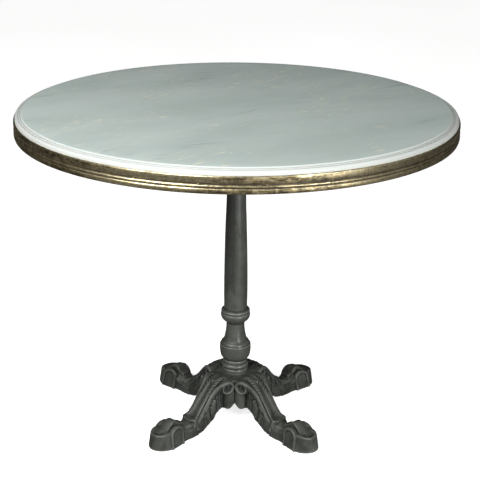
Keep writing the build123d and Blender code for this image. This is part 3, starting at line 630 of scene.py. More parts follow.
# ---------------------------------------------------------------- materials
class Nodes:
    """Short names for the shader nodes used below."""

    def __init__(self, name):
        self.mat = bpy.data.materials.new(name)
        self.mat.use_nodes = True
        self.t = self.mat.node_tree
        self.p = self.t.nodes["Principled BSDF"]
        self.pos = self.add("ShaderNodeTexCoord").outputs["Object"]

    def add(self, kind, **props):
        n = self.t.nodes.new(kind)
        for k, v in props.items():
            setattr(n, k, v)
        return n

    def link(self, a, b):
        self.t.links.new(a, b)

    def put(self, socket, value):
        if hasattr(value, "node"):
            self.link(value, socket)
        else:
            socket.default_value = value

    def math(self, op, a, b=0.0, c=None, clamp=False):
        n = self.add("ShaderNodeMath", operation=op, use_clamp=clamp)
        self.put(n.inputs[0], a)
        self.put(n.inputs[1], b)
        if c is not None:
            self.put(n.inputs[2], c)
        return n.outputs[0]

    def scaled(self, vector, scale, rotation=(0, 0, 0), location=(0, 0, 0)):
        # a mapping node scales before it turns, so a leaning grain takes two of them
        if any(rotation):
            r = self.add("ShaderNodeMapping")
            r.inputs["Rotation"].default_value = rotation
            self.link(vector, r.inputs["Vector"])
            vector = r.outputs[0]
        n = self.add("ShaderNodeMapping")
        n.inputs["Scale"].default_value = scale
        n.inputs["Location"].default_value = location
        self.link(vector, n.inputs["Vector"])
        return n.outputs[0]

    def noise(self, vector, scale, detail=4.0, rough=0.55, distort=0.0):
        n = self.add("ShaderNodeTexNoise")
        self.link(vector, n.inputs["Vector"])
        n.inputs["Scale"].default_value = scale
        n.inputs["Detail"].default_value = detail
        n.inputs["Roughness"].default_value = rough
        n.inputs["Distortion"].default_value = distort
        return n.outputs["Fac"]

    def voronoi(self, vector, scale, feature="F1", out="Distance"):
        n = self.add("ShaderNodeTexVoronoi", feature=feature)
        self.link(vector, n.inputs["Vector"])
        n.inputs["Scale"].default_value = scale
        return n.outputs[out]

    def remap(self, value, a, b, lo=0.0, hi=1.0):
        n = self.add("ShaderNodeMapRange", interpolation_type="SMOOTHSTEP")
        self.link(value, n.inputs["Value"])
        for k, v in zip(("From Min", "From Max", "To Min", "To Max"), (a, b, lo, hi)):
            self.put(n.inputs[k], v)
        return n.outputs[0]

    def mix(self, fac, a, b, blend="MIX"):
        n = self.add("ShaderNodeMix", data_type="RGBA", blend_type=blend)
        self.put(n.inputs[0], fac)
        for k, v in ((6, a), (7, b)):
            self.put(n.inputs[k], v if hasattr(v, "node") else (*v, 1.0))
        return n.outputs[2]

    def ramp(self, value, stops):
        n = self.add("ShaderNodeValToRGB")
        self.link(value, n.inputs[0])
        el = n.color_ramp.elements
        while len(el) < len(stops):
            el.new(0.5)
        for e, (at, col) in zip(el, stops):
            e.position = at
            e.color = (*col, 1.0)
        return n.outputs[0]

    def attribute(self, name):
        return self.add("ShaderNodeAttribute", attribute_name=name).outputs["Fac"]

    def bump(self, height, distance, strength=1.0, normal=None):
        n = self.add("ShaderNodeBump")
        n.inputs["Distance"].default_value = distance
        n.inputs["Strength"].default_value = strength
        self.link(height, n.inputs["Height"])
        if normal is not None:
            self.link(normal, n.inputs["Normal"])
        return n.outputs[0]

    def xyz(self, vector):
        n = self.add("ShaderNodeSeparateXYZ")
        self.link(vector, n.inputs[0])
        return n.outputs

    def finish(self, color, rough, normal=None, **constants):
        self.link(color, self.p.inputs["Base Color"])
        self.put(self.p.inputs["Roughness"], rough)
        if normal is not None:
            self.link(normal, self.p.inputs["Normal"])
        for k, v in constants.items():
            self.p.inputs[k.replace("_", " ")].default_value = v
        return self.mat


def round_table(m, radius):
    """Vector of (distance round the edge, distance from the axis, height), in metres, joined up at the back."""
    x, y, z = m.xyz(m.pos)
    turn = m.math("ARCTAN2", x, m.math("MULTIPLY", y, -1.0))
    n = m.add("ShaderNodeCombineXYZ")
    m.link(m.math("MULTIPLY", turn, radius), n.inputs[0])
    m.link(m.math("SQRT", m.math("ADD", m.math("POWER", x, 2.0), m.math("POWER", y, 2.0))), n.inputs[1])
    m.link(z, n.inputs[2])
    return n.outputs[0]


def marble_material(flat_r):
    m = Nodes("marble")
    x, y, z = m.xyz(m.pos)
    radius = m.math("SQRT", m.math("ADD", m.math("POWER", x, 2.0), m.math("POWER", y, 2.0)))
    warp = m.add("ShaderNodeTexNoise")
    m.link(m.pos, warp.inputs["Vector"])
    warp.inputs["Scale"].default_value = 3.2
    warp.inputs["Detail"].default_value = 3.0
    shift = m.add("ShaderNodeVectorMath", operation="MULTIPLY_ADD")
    m.link(warp.outputs["Color"], shift.inputs[0])
    shift.inputs[1].default_value = (0.10, 0.10, 0.10)
    m.link(m.pos, shift.inputs[2])
    drift = shift.outputs[0]
    lean = (0, 0, math.radians(-33))
    cloud = m.noise(m.scaled(drift, (2.0, 5.0, 4.0), lean), 1.6, 5.0, 0.55)
    cloud2 = m.noise(m.scaled(m.pos, (9.0, 30.0, 14.0), lean), 1.0, 4.0, 0.55)
    grain = m.noise(m.pos, 260.0, 3.0, 0.7)
    body = m.mix(m.remap(cloud, 0.32, 0.68), (0.355, 0.410, 0.388), (0.405, 0.458, 0.436))
    body = m.mix(m.math("MULTIPLY", m.remap(cloud2, 0.42, 0.75), 0.10), body, (0.50, 0.53, 0.50))
    body = m.mix(m.math("MULTIPLY", m.remap(grain, 0.35, 0.75), 0.20), body, (0.26, 0.30, 0.29))
    # fine grey lines that run with the grain
    line = m.noise(m.scaled(drift, (1.3, 17.0, 8.0), lean, (0.3, 0.1, 0)), 1.0, 5.0, 0.55, 0.3)
    line = m.remap(m.math("ABSOLUTE", m.math("SUBTRACT", line, 0.5)), 0.0, 0.014, 1.0, 0.0)
    where = m.remap(m.noise(m.scaled(m.pos, (3.0, 8.0, 1.0), lean, (2.1, 0.7, 0)), 1.0, 3.0, 0.5), 0.54, 0.70)
    body = m.mix(m.math("MULTIPLY", m.math("MULTIPLY", line, where), 0.60), body, (0.17, 0.20, 0.20))
    # short pale yellow dashes, in drifts
    dash = m.noise(m.scaled(m.pos, (24.0, 150.0, 60.0), (0, 0, math.radians(-42)), (0.9, 0.2, 0)), 1.0, 2.0, 0.5, 0.1)
    dash = m.remap(dash, 0.61, 0.68)
    drifts = m.remap(m.noise(m.scaled(m.pos, (3.4, 6.5, 3.0), lean, (0.4, 3.1, 0)), 1.0, 2.0, 0.5), 0.42, 0.60)
    body = m.mix(m.math("MULTIPLY", m.math("MULTIPLY", dash, drifts), 0.75), body, (0.62, 0.60, 0.41))
    # the moulded edge is whiter; the grey in its quirk is painted shade, laid on from the cavity below
    edge = m.remap(radius, flat_r - 0.0015, flat_r + 0.0022)
    pale = m.mix(m.remap(cloud, 0.35, 0.70), (0.42, 0.435, 0.415), (0.375, 0.395, 0.375))
    color = m.mix(edge, body, pale)
    # painted shade: the quirk, the cove and the other hollows of the profile darkened towards grey
    cav = m.attribute("cavity")
    color = m.mix(m.remap(cav, 0.10, 0.7, 0.0, 0.60), color, (0.15, 0.165, 0.15))
    smear = m.noise(m.scaled(m.pos, (4.0, 9.0, 4.0), lean), 1.0, 4.0, 0.6)
    rough = m.remap(smear, 0.3, 0.7, 0.44, 0.50)
    pits = m.remap(m.voronoi(m.pos, 95.0), 0.03, 0.09)
    height = m.math("ADD", m.math("MULTIPLY", m.noise(m.pos, 38.0, 4.0, 0.5), 0.5), m.math("MULTIPLY", pits, 0.25))
    return m.finish(
        color, rough, m.bump(height, 0.00010, 0.25),
        IOR=1.5, Specular_IOR_Level=0.18, Subsurface_Weight=0.04, Subsurface_Scale=0.004,
    )


def brass_material(name, radius, darker=1.0):
    m = Nodes(name)
    ring = round_table(m, radius)
    wash = m.noise(m.scaled(ring, (34.0, 60.0, 95.0)), 1.0, 8.0, 0.74, 0.4)
    broad = m.noise(m.scaled(ring, (3.0, 20.0, 9.0), (0, 0, 0), (1.7, 0, 0.3)), 1.0, 3.0, 0.5)
    drag = m.noise(m.scaled(ring, (110.0, 260.0, 520.0)), 1.0, 5.0, 0.72)
    speck = m.noise(m.scaled(ring, (420.0, 420.0, 420.0)), 1.0, 3.0, 0.7)
    cav = m.attribute("cavity")
    bare = m.mix(m.remap(drag, 0.3, 0.7), (0.52, 0.41, 0.19), (0.82, 0.75, 0.54))
    brown = m.mix(m.remap(wash, 0.35, 0.65), (0.032, 0.026, 0.014), (0.135, 0.098, 0.042))
    worn = m.math("ADD", m.math("MULTIPLY", m.remap(wash, 0.42, 0.68), 0.50), m.math("MULTIPLY", m.remap(broad, 0.42, 0.62), 0.42))
    worn = m.math("ADD", worn, m.math("MULTIPLY", m.math("SUBTRACT", drag, 0.52), 0.95))
    worn = m.math("SUBTRACT", worn, m.math("MULTIPLY", m.math("MAXIMUM", cav, 0.0), 0.9))
    worn = m.math("ADD", worn, m.math("MULTIPLY", m.math("MAXIMUM", m.math("MULTIPLY", cav, -1.0), 0.0), 0.45), clamp=True)
    color = m.mix(worn, brown, bare)
    # dark spots and a few greenish ones
    spots = m.remap(m.voronoi(m.scaled(ring, (1.0, 1.0, 1.3)), 62.0), 0.05, 0.16, 1.0, 0.0)
    some = m.remap(m.noise(m.scaled(ring, (14.0, 14.0, 14.0), (0, 0, 0), (4, 2, 1)), 1.0, 2.0, 0.5), 0.50, 0.60)
    spots = m.math("MULTIPLY", spots, some)
    fine = m.remap(speck, 0.57, 0.67)
    ticks = m.remap(m.noise(m.scaled(ring, (620.0, 90.0, 75.0), (0, 0, 0), (3, 5, 8)), 1.0, 2.0, 0.5), 0.66, 0.73)
    nicks = m.remap(m.noise(m.scaled(ring, (480.0, 90.0, 90.0), (0, 0, 0), (8, 1, 2)), 1.0, 2.0, 0.5), 0.64, 0.72)
    # thin dark stains dragged down from the top edge
    runs = m.remap(m.noise(m.scaled(ring, (160.0, 30.0, 26.0), (0, 0, 0), (2, 9, 4)), 1.0, 3.0, 0.6), 0.60, 0.72)
    color = m.mix(m.math("MULTIPLY", runs, 0.55), color, (0.055, 0.042, 0.022))
    color = m.mix(m.math("MULTIPLY", spots, 0.8), color, (0.030, 0.022, 0.014))
    color = m.mix(m.math("MULTIPLY", nicks, 0.70), color, (0.030, 0.023, 0.013))
    color = m.mix(m.math("MULTIPLY", fine, 0.60), color, (0.040, 0.030, 0.016))
    color = m.mix(m.math("MULTIPLY", ticks, 0.55), color, (0.70, 0.62, 0.40))
    green = m.remap(m.noise(m.scaled(ring, (26.0, 60.0, 60.0), (0, 0, 0), (7, 1, 3)), 1.0, 4.0, 0.6), 0.63, 0.76)
    color = m.mix(m.math("MULTIPLY", green, 0.35), color, (0.16, 0.20, 0.12))
    # grooves and hollows darkened almost to black: grime and patina, with painted shade
    color = m.mix(m.remap(cav, 0.05, 0.7, 0.0, 0.85), color, (0.020, 0.015, 0.009))
    metal = m.math("SUBTRACT", 1.0, m.math("MULTIPLY", m.math("MAXIMUM", spots, m.remap(cav, 0.1, 0.8)), 0.7), clamp=True)
    rough = m.remap(worn, 0.0, 1.0, 0.50, 0.23)
    rough = m.math("ADD", rough, m.math("MULTIPLY", fine, 0.15), clamp=True)
    # scratches across and along, and small dents
    scratch = m.noise(m.scaled(ring, (900.0, 60.0, 45.0)), 1.0, 2.0, 0.5)
    scratch = m.remap(scratch, 0.66, 0.74)
    dents = m.noise(m.scaled(ring, (55.0, 55.0, 80.0)), 1.0, 3.0, 0.5)
    height = m.math("SUBTRACT", m.math("MULTIPLY", dents, 1.0), m.math("MULTIPLY", scratch, 0.25))
    height = m.math("ADD", height, m.math("MULTIPLY", drag, 0.18))
    height = m.math("SUBTRACT", height, m.math("MULTIPLY", spots, 0.30))
    m.link(metal, m.p.inputs["Metallic"])
    return m.finish(color, rough, m.bump(height, 0.00035, 0.55))


def iron_material(name, low=(0.028, 0.0305, 0.0255), high=(0.064, 0.069, 0.060), chips=True, mottled=1.0, upright=False, dull=0.0, deep=0.0):
    m = Nodes(name)
    cav = m.attribute("cavity")
    patch = m.noise(m.pos, 21.0, 5.0, 0.6, 0.3)
    mottle = m.noise(m.pos, 120.0, 4.0, 0.62)
    sand = m.noise(m.pos, 900.0, 2.0, 0.6)
    middle = tuple(0.5 * (a + b) for a, b in zip(low, high))
    low2 = tuple(c + (a - c) * mottled for a, c in zip(low, middle))
    high2 = tuple(c + (b - c) * mottled for b, c in zip(high, middle))
    color = m.mix(m.remap(patch, 0.34, 0.68), low2, high2)
    color = m.mix(m.math("MULTIPLY", m.remap(mottle, 0.40, 0.70), 0.30 * mottled), color, tuple(v * 1.35 for v in high))
    color = m.mix(m.math("MULTIPLY", m.remap(sand, 0.50, 0.80), 0.18), color, tuple(v * 0.5 for v in low))
    # arrises lighter: worn paint and painted highlight; hollows dark: dirt, old paint and painted shade
    edge = m.remap(m.math("ADD", m.math("MULTIPLY", cav, -1.0), m.math("MULTIPLY", m.math("SUBTRACT", mottle, 0.5), 0.5)), 0.14, 0.80)
    color = m.mix(m.math("MULTIPLY", edge, 0.66 + 0.5 * deep), color, tuple(min(1, v * 2.3) for v in high))
    # painted shade in the hollows, with dirt and old paint
    hollow = m.remap(cav, 0.04, 0.60 - 1.6 * deep)
    color = m.mix(m.math("MULTIPLY", hollow, 0.82 + deep), color, tuple(v * 0.26 for v in low))
    rust = m.remap(m.noise(m.scaled(m.pos, (1, 1, 1), (0, 0, 0), (3.1, 1.2, 0.4)), 34.0, 5.0, 0.65), 0.62, 0.74)
    color = m.mix(m.math("MULTIPLY", rust, 0.22), color, (0.085, 0.060, 0.038))
    if chips:
        cell = m.remap(m.voronoi(m.pos, 46.0), 0.030, 0.050, 1.0, 0.0)
        rare = m.remap(m.noise(m.scaled(m.pos, (1, 1, 1), (0, 0, 0), (9.0, 5.0, 2.0)), 17.0, 1.0, 0.4), 0.56, 0.62)
        color = m.mix(m.math("MULTIPLY", m.math("MULTIPLY", cell, rare), 0.85), color, (0.42, 0.43, 0.38))
    rough = m.math("ADD", m.remap(patch, 0.3, 0.7, 0.36 + dull, 0.50 + dull), m.math("MULTIPLY", hollow, 0.22), clamp=True)
    rough = m.math("SUBTRACT", rough, m.math("MULTIPLY", edge, 0.10), clamp=True)
    if upright:
        # darker, glossier patches in long upright streaks, most of them on the column's front-left between 0.30 m and
        # 0.60 m up
        x, y, z = m.xyz(m.pos)
        here = m.math("MULTIPLY", m.remap(x, -0.004, 0.001, 1.0, 0.0), m.remap(y, -0.004, 0.004, 1.0, 0.0))
        here = m.math("MULTIPLY", here, m.math("MULTIPLY", m.remap(z, 0.30, 0.335), m.remap(z, 0.545, 0.60, 1.0, 0.0)))
        tall = m.noise(m.scaled(m.pos, (60.0, 60.0, 15.0), (0, 0, 0), (0.35, 0.1, 0.2)), 1.0, 5.0, 0.6, 0.2)
        tall = m.remap(m.math("ADD", tall, m.math("MULTIPLY", here, 0.27)), 0.64, 0.68)
        color = m.mix(m.math("MULTIPLY", tall, 0.42), color, tuple(v * 0.55 for v in low))
        rough = m.math("SUBTRACT", rough, m.math("MULTIPLY", tall, 0.12), clamp=True)
    height = m.math("ADD", m.math("MULTIPLY", m.noise(m.pos, 75.0, 4.0, 0.55), 0.7), m.math("MULTIPLY", sand, 0.22))
    height = m.math("ADD", height, m.math("MULTIPLY", m.noise(m.pos, 330.0, 3.0, 0.6), 0.25))
    return m.finish(color, rough, m.bump(height, 0.00055, 0.5), Specular_IOR_Level=0.5 - 1.4 * dull)


def plywood_material(bottom, top):
    m = Nodes("plywood")
    x, y, z = m.xyz(m.pos)
    grain = m.noise(m.scaled(m.pos, (5.0, 90.0, 400.0)), 1.0, 6.0, 0.62, 0.6)
    broad = m.noise(m.scaled(m.pos, (1.2, 9.0, 9.0)), 1.0, 4.0, 0.5, 1.2)
    fleck = m.noise(m.scaled(m.pos, (40.0, 1500.0, 400.0)), 1.0, 2.0, 0.6)
    face = m.mix(m.remap(grain, 0.3, 0.72), (0.47, 0.31, 0.17), (0.63, 0.45, 0.27))
    face = m.mix(m.math("MULTIPLY", m.remap(broad, 0.4, 0.7), 0.5), face, (0.40, 0.25, 0.13))
    face = m.mix(m.math("MULTIPLY", m.remap(fleck, 0.58, 0.72), 0.5), face, (0.22, 0.13, 0.07))
    # edge: alternating veneers
    ply = m.math("SINE", m.math("MULTIPLY", m.math("SUBTRACT", z, bottom), 2 * math.pi / ((top - bottom) / 4.5)))
    edge = m.mix(m.remap(ply, -0.3, 0.3), (0.58, 0.42, 0.25), (0.30, 0.19, 0.10))
    inner = m.math("MULTIPLY", m.remap(z, bottom + 0.0003, bottom + 0.0008), m.remap(z, top - 0.0008, top - 0.0003, 1.0, 0.0))
    color = m.mix(inner, face, edge)
    stain = m.remap(m.noise(m.pos, 4.0, 4.0, 0.6), 0.52, 0.70)
    color = m.mix(m.math("MULTIPLY", stain, 0.35), color, (0.20, 0.13, 0.08))
    height = m.math("ADD", m.math("MULTIPLY", grain, 0.6), m.math("MULTIPLY", fleck, -0.4))
    return m.finish(color, m.remap(grain, 0.3, 0.7, 0.62, 0.78), m.bump(height, 0.0003, 0.6))


def steel_material(name, base=(0.52, 0.52, 0.50), dull=(0.30, 0.30, 0.28), rough=(0.32, 0.5)):
    m = Nodes(name)
    smear = m.noise(m.pos, 90.0, 5.0, 0.6)
    brush = m.noise(m.scaled(m.pos, (300.0, 300.0, 2600.0)), 1.0, 2.0, 0.6)
    color = m.mix(m.remap(smear, 0.35, 0.68), dull, base)
    rust = m.remap(m.noise(m.pos, 210.0, 4.0, 0.65), 0.62, 0.76)
    color = m.mix(m.math("MULTIPLY", rust, 0.45), color, (0.20, 0.11, 0.055))
    r = m.math("ADD", m.remap(smear, 0.3, 0.7, rough[0], rough[1]), m.math("MULTIPLY", rust, 0.2), clamp=True)
    height = m.math("ADD", m.math("MULTIPLY", brush, 0.5), smear)
    return m.finish(color, r, m.bump(height, 0.00008, 0.6), Metallic=0.9)


def plastic_material():
    m = Nodes("glide_plastic")
    spark = m.noise(m.pos, 1400.0, 2.0, 0.6)
    scuff = m.noise(m.scaled(m.pos, (60.0, 260.0, 60.0)), 1.0, 4.0, 0.6)
    color = m.mix(m.remap(scuff, 0.45, 0.72), (0.022, 0.022, 0.022), (0.060, 0.058, 0.054))
    return m.finish(color, m.remap(scuff, 0.35, 0.7, 0.42, 0.66), m.bump(spark, 0.00012, 0.5))


def silicone_material():
    m = Nodes("silicone")
    lump = m.noise(m.pos, 60.0, 4.0, 0.5)
    color = m.mix(m.remap(lump, 0.3, 0.7), (0.74, 0.74, 0.70), (0.86, 0.86, 0.83))
    return m.finish(color, m.remap(lump, 0.3, 0.7, 0.38, 0.52), m.bump(lump, 0.0004, 0.5), Subsurface_Weight=0.1, Subsurface_Scale=0.003)


# ---------------------------------------------------------------- the pieces
def mm(points):
    return [(r * 0.001, z * 0.001) for r, z in points]


def paint(nodes, material):
    """A carried-over CAD node gets this material in every slot."""
    for n in nodes:
        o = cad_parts[n]
        o.data.materials.clear()
        o.data.materials.append(material)


marble_lo, marble_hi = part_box("marble_slab")
band_lo, band_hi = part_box("brass_band")
board_lo, board_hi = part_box("plywood_board")
shaft_lo, shaft_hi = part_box("column_shaft")
baluster_lo, baluster_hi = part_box("column_baluster")
collar_lo, collar_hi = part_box("hub_collar")

R = marble_hi.x
TOP = marble_hi.z
BOT = marble_lo.z
FLAT = R - 0.0145

marble = marble_material(FLAT)
brass = brass_material("aged_brass", band_hi.x)
pin_brass = brass_material("pin_brass", band_hi.x)
column_iron = iron_material("column_iron", chips=False, mottled=0.45, upright=True)
# the legs' iron is the column's iron darkened to about two thirds, as painted shade; deep=0.14 deepens the painted
# shade in its hollows and brightens the painted highlights on its arrises
leg_iron = iron_material("leg_iron", (0.0186, 0.0202, 0.0168), (0.0452, 0.0489, 0.0422), dull=0.12, deep=0.14)
bracket_iron = iron_material("bracket_iron", (0.022, 0.023, 0.022), (0.055, 0.056, 0.053), chips=False)
plywood = plywood_material(board_lo.z, board_hi.z)
screw_steel = steel_material("screw_steel")
rod_steel = steel_material("rod_steel", (0.44, 0.44, 0.42), (0.20, 0.19, 0.17), (0.36, 0.58))
plastic = plastic_material()
silicone = silicone_material()

paint(["plywood_board"], plywood)
paint(["silicone_dabs"], silicone)
paint(["spider_bracket", "clamp_plate"], bracket_iron)
paint(["spider_screws", "leg_bolts", "leg_washers"] + [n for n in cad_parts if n.startswith("glide_stud_")], screw_steel)
paint(["tie_rod", "top_washer", "top_nut", "bottom_washer", "bottom_nut"], rod_steel)
paint([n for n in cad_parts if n.startswith("glide_pad_")], plastic)

# marble slab: flat, small bead, cove, ovolo and a straight edge above the brass
profile = [(0.0, BOT), (R * 0.3, BOT), (R * 0.7, BOT), (R - 0.0012, BOT), (R - 0.0003, BOT + 0.0004), (R, BOT + 0.0012), (R, TOP - 0.0104)]
profile += arc((R - 0.0062, TOP - 0.0100), 0.0062, 6, 86, 12)[1:]
profile += [(R - 0.0072, TOP - 0.0041), (R - 0.0078, TOP - 0.0044)]
profile += arc((R - 0.0098, TOP - 0.0046), 0.0018, 5, 120, 8)
profile += [(R - 0.0118, TOP - 0.0025), (R - 0.0128, TOP - 0.0019)]
profile += [(FLAT + 0.0010, TOP - 0.0013), (FLAT + 0.0003, TOP - 0.0005), (FLAT - 0.0004, TOP - 0.0001), (FLAT - 0.0012, TOP)]
profile += [(R * 0.8, TOP), (R * 0.6, TOP), (R * 0.4, TOP), (R * 0.2, TOP), (0.0, TOP)]
slab = lathe("marble_slab_turned", resample(profile, 0.03), marble, 360, reach=0.0016, sharp=50)
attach(slab, "table")
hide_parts("marble_slab")

# brass band: one strip, two broad rolls with a bead between, butt joint at the back
B0, B1, RB = band_lo.z, band_hi.z, 0.4773
H = B1 - B0
outer = [(RB, B0), (RB + 0.0017, B0), (RB + 0.0022, B0 + 0.0004)]
outer += curve_profile([(RB + 0.0022, B0 + 0.0004), (RB + 0.0030, B0 + 0.0028), (RB + 0.0033, B0 + 0.0058), (RB + 0.0029, B0 + 0.0088), (RB + 0.0022, B0 + 0.0103)], 0.0006)[1:]
outer += [(RB + 0.0013, B0 + 0.0107), (RB + 0.0012, B0 + 0.0113), (RB + 0.0017, B0 + 0.0117)]
outer += curve_profile([(RB + 0.0017, B0 + 0.0117), (RB + 0.0028, B0 + 0.0130), (RB + 0.0031, B0 + 0.0143), (RB + 0.0028, B0 + 0.0157), (RB + 0.0016, B0 + 0.0171)], 0.0004)[1:]
outer += [(RB + 0.0010, B0 + 0.0175), (RB + 0.0008, B0 + 0.0185), (RB + 0.0010, B0 + 0.0198)]
outer += curve_profile([(RB + 0.0018, B0 + 0.0202), (RB + 0.0026, B0 + 0.0228), (RB + 0.0030, B0 + 0.0270), (RB + 0.0028, B0 + 0.0315), (RB + 0.0023, B0 + 0.0337)], 0.0006)
outer += [(RB + 0.0019, B1 - 0.0003), (RB + 0.0012, B1), (RB, B1)]
outer += [(RB, B0 + H * 0.66), (RB, B0 + H * 0.33)]
band = lathe("brass_band_strip", outer, brass, 540, wobble=0.00016, reach=0.0016, gap=0.0006, sharp=50, seed=3)
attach(band, "table")
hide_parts("brass_band")

# pins: low domed heads on a shank, in the band's groove
verts, faces = [], []
pin_z = 0.5 * (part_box("band_pins")[0].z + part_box("band_pins")[1].z)
ring = [(0.0, 0.0011), (0.0004, 0.00106), (0.0008, 0.0008), (0.00105, 0.0004), (0.00108, 0.0), (0.0008, -0.0001), (0.00078, -0.008), (0.0, -0.0085)]
for k in range(24):
    a = math.radians((k + 0.5) * 15.0)
    out = Vector((math.cos(a), math.sin(a), 0))
    side = Vector((-math.sin(a), math.cos(a), 0))
    up = Vector((0, 0, 1))
    base = out * (RB + 0.0009) + up * pin_z
    n = 20
    first = len(verts)
    verts.append(base + out * ring[0][1])
    for rad, d in ring[1:-1]:
        for i in range(n):
            t = 2 * math.pi * i / n
            verts.append(base + out * d + side * (rad * math.cos(t)) + up * (rad * math.sin(t)))
    verts.append(base + out * ring[-1][1])
    last = len(verts) - 1
    for i in range(n):
        i1 = (i + 1) % n
        faces.append((first, first + 1 + i, first + 1 + i1))
        for j in range(len(ring) - 3):
            p, q = first + 1 + j * n, first + 1 + (j + 1) * n
            faces.append((p + i, q + i, q + i1))
            faces.append((p + i, q + i1, p + i1))
        p = first + 1 + (len(ring) - 3) * n
        faces.append((p + i, last, p + i1))
pins = add_mesh("band_pins_domed", [tuple(v) for v in verts], faces, pin_brass, sharp=60)
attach(pins, "table")
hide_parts("band_pins")

# column shaft
base = shaft_lo.z * 1000.0
top = shaft_hi.z * 1000.0 - 8.0
low_edge = base - 2.6
prof = [(14.0, low_edge), (30.6, low_edge), (32.6, low_edge + 0.3), (33.3, low_edge + 0.9)]
prof += curve_profile([(33.4, low_edge + 1.1), (33.2, low_edge + 2.6), (31.8, low_edge + 4.8), (29.6, low_edge + 6.4), (28.0, low_edge + 7.0)], 0.5)[1:]
prof += [(27.2, low_edge + 7.2), (26.9, low_edge + 7.9), (26.7, base + 7.2), (26.6, base + 8.8)]
prof += curve_profile([
    (26.6, 278.0), (26.9, 300.0), (27.0, 318.0), (26.8, 348.0), (26.4, 377.0), (25.9, 406.0), (25.3, 436.0), (24.6, 465.0),
    (23.7, 494.0), (22.9, 513.0), (22.1, 541.0), (21.1, 580.0), (20.4, 625.0), (20.0, 654.0)], 6.0)[1:]
prof += [(20.4, 655.4), (20.7, 656.0)] + arc((20.9, 660.0), 4.1, -80, 80, 14) + [(20.5, 664.6), (20.0, 665.6)]
prof += curve_profile([(20.0, 665.6), (20.7, 670.0), (23.2, 675.0), (29.2, 678.6)], 1.0)[1:]
prof += [(30.0, 679.2), (30.0, top - 0.6), (29.4, top), (13.9, top), (13.9, top + 8.0), (7.2, top + 8.0), (7.2, top - 16), (13.5, top - 34), (15.5, 560.0), (19.0, 440.0), (19.5, 300.0), (14.0, 284.0), (14.0, low_edge)]
shaft = lathe("column_shaft_turned", mm(resample(prof[:-1], 12.0)), column_iron, 192, wobble=0.00016, reach=0.003, sharp=42, seed=11)
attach(shaft, "table")
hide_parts("column_shaft")

# baluster: lower bead, waist, cup with an arris, foot bead
base = baluster_lo.z * 1000.0
seam = baluster_hi.z * 1000.0 - 10.0
prof = [(14.0, base), (24.4, base), (25.0, base + 0.4)]
prof += curve_profile([(25.0, base + 0.6), (27.6, base + 2.0), (28.5, base + 4.2), (28.2, base + 6.2), (27.2, base + 7.2)], 0.5)
prof += [(26.7, base + 7.5), (27.0, base + 8.0)]
prof += curve_profile([(27.4, base + 8.2), (30.0, 150.0), (33.5, 154.4), (35.4, 163.0), (36.1, 172.0), (36.0, 179.0), (35.7, 183.4)], 1.2)
prof += [(35.2, 184.2), (34.3, 184.7), (33.8, 184.9), (33.7, 185.5)]
prof += curve_profile([(33.7, 186.0), (31.8, 190.2), (27.2, 195.2), (24.5, 205.0), (22.5, 216.0), (21.4, 227.0), (21.1, 238.2)], 1.5)[1:]
prof += [(21.5, 239.2), (22.6, 239.8)]
prof += curve_profile([(22.8, 240.2), (26.4, 243.4), (30.8, 247.8), (33.3, 252.6), (34.2, 256.6), (34.0, 260.0), (32.6, 262.8), (31.0, 263.8)], 0.8)[1:]
prof += [(29.4, 264.1), (29.2, 265.2), (28.0, 265.6), (28.0, seam - 3.2), (13.9, seam), (13.9, seam + 10.0), (8.0, seam + 10.0), (8.0, seam - 14.0), (14.0, 228.0), (14.0, 202.0), (24.0, 178.0), (24.0, 166.0), (14.0, 148.0)]
baluster = lathe("column_baluster_turned", mm(resample(prof, 12.0)), column_iron, 192, wobble=0.00018, reach=0.003, sharp=42, seed=12)
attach(baluster, "table")
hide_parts("column_baluster")

# hub collar: two rings with a groove between
base = collar_lo.z * 1000.0
top = collar_hi.z * 1000.0 - 8.0
prof = [(6.6, base), (28.2, base), (28.8, base + 0.6)]
prof += curve_profile([(28.8, base + 0.9), (29.3, base + 4.0), (29.4, base + 7.6), (28.8, base + 10.6), (27.9, base + 11.6)], 0.7)
prof += [(27.0, base + 12.0), (26.9, base + 13.6), (27.6, base + 14.2)]
prof += curve_profile([(28.0, base + 14.5), (29.9, base + 16.4), (30.4, base + 18.8), (29.8, base + 21.4), (27.8, base + 23.6)], 0.6)
prof += [(26.2, base + 24.4), (25.2, base + 25.2), (25.0, top), (13.9, top), (13.9, top + 8.0), (6.6, top + 8.0)]
collar = lathe("hub_collar_turned", mm(resample(prof, 8.0)), column_iron, 192, wobble=0.00015, reach=0.0028, sharp=42, seed=13)
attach(collar, "table")
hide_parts("hub_collar")

# legs
GRID = 1.15
clay = leg_field(GRID)
F = np.concatenate([clay.F[:, :0:-1, :], clay.F], axis=1)
low = np.array([clay.ax[0][0], -clay.ax[1][-1], clay.ax[2][0]])
points, quads, sample = surface_nets(F, low, GRID)
# cavity: how far each point lies in a hollow (+) or on a ridge (-); the leg iron paints shade in the hollows and
# highlights on the ridges from it
capped = np.clip(F, -5, 5)
near = sample(blur(capped, 1), points) / (0.42 * GRID)
wide = sample(blur(blur(capped, 3), 2), points) / (1.9 * GRID)
cavity = np.clip(-(0.55 * near + 0.75 * wide), -1, 1)
points = points * GRID + low
# along the joint between neighbouring legs the cavity is held between 0.06 and 0.45: a little painted shade, hardly any
# painted highlight
seam = (points[:, 0] - np.abs(points[:, 1])) * math.sqrt(0.5)
cavity = np.where(seam < 1.6, np.clip(cavity, 0.06, 0.45), cavity)
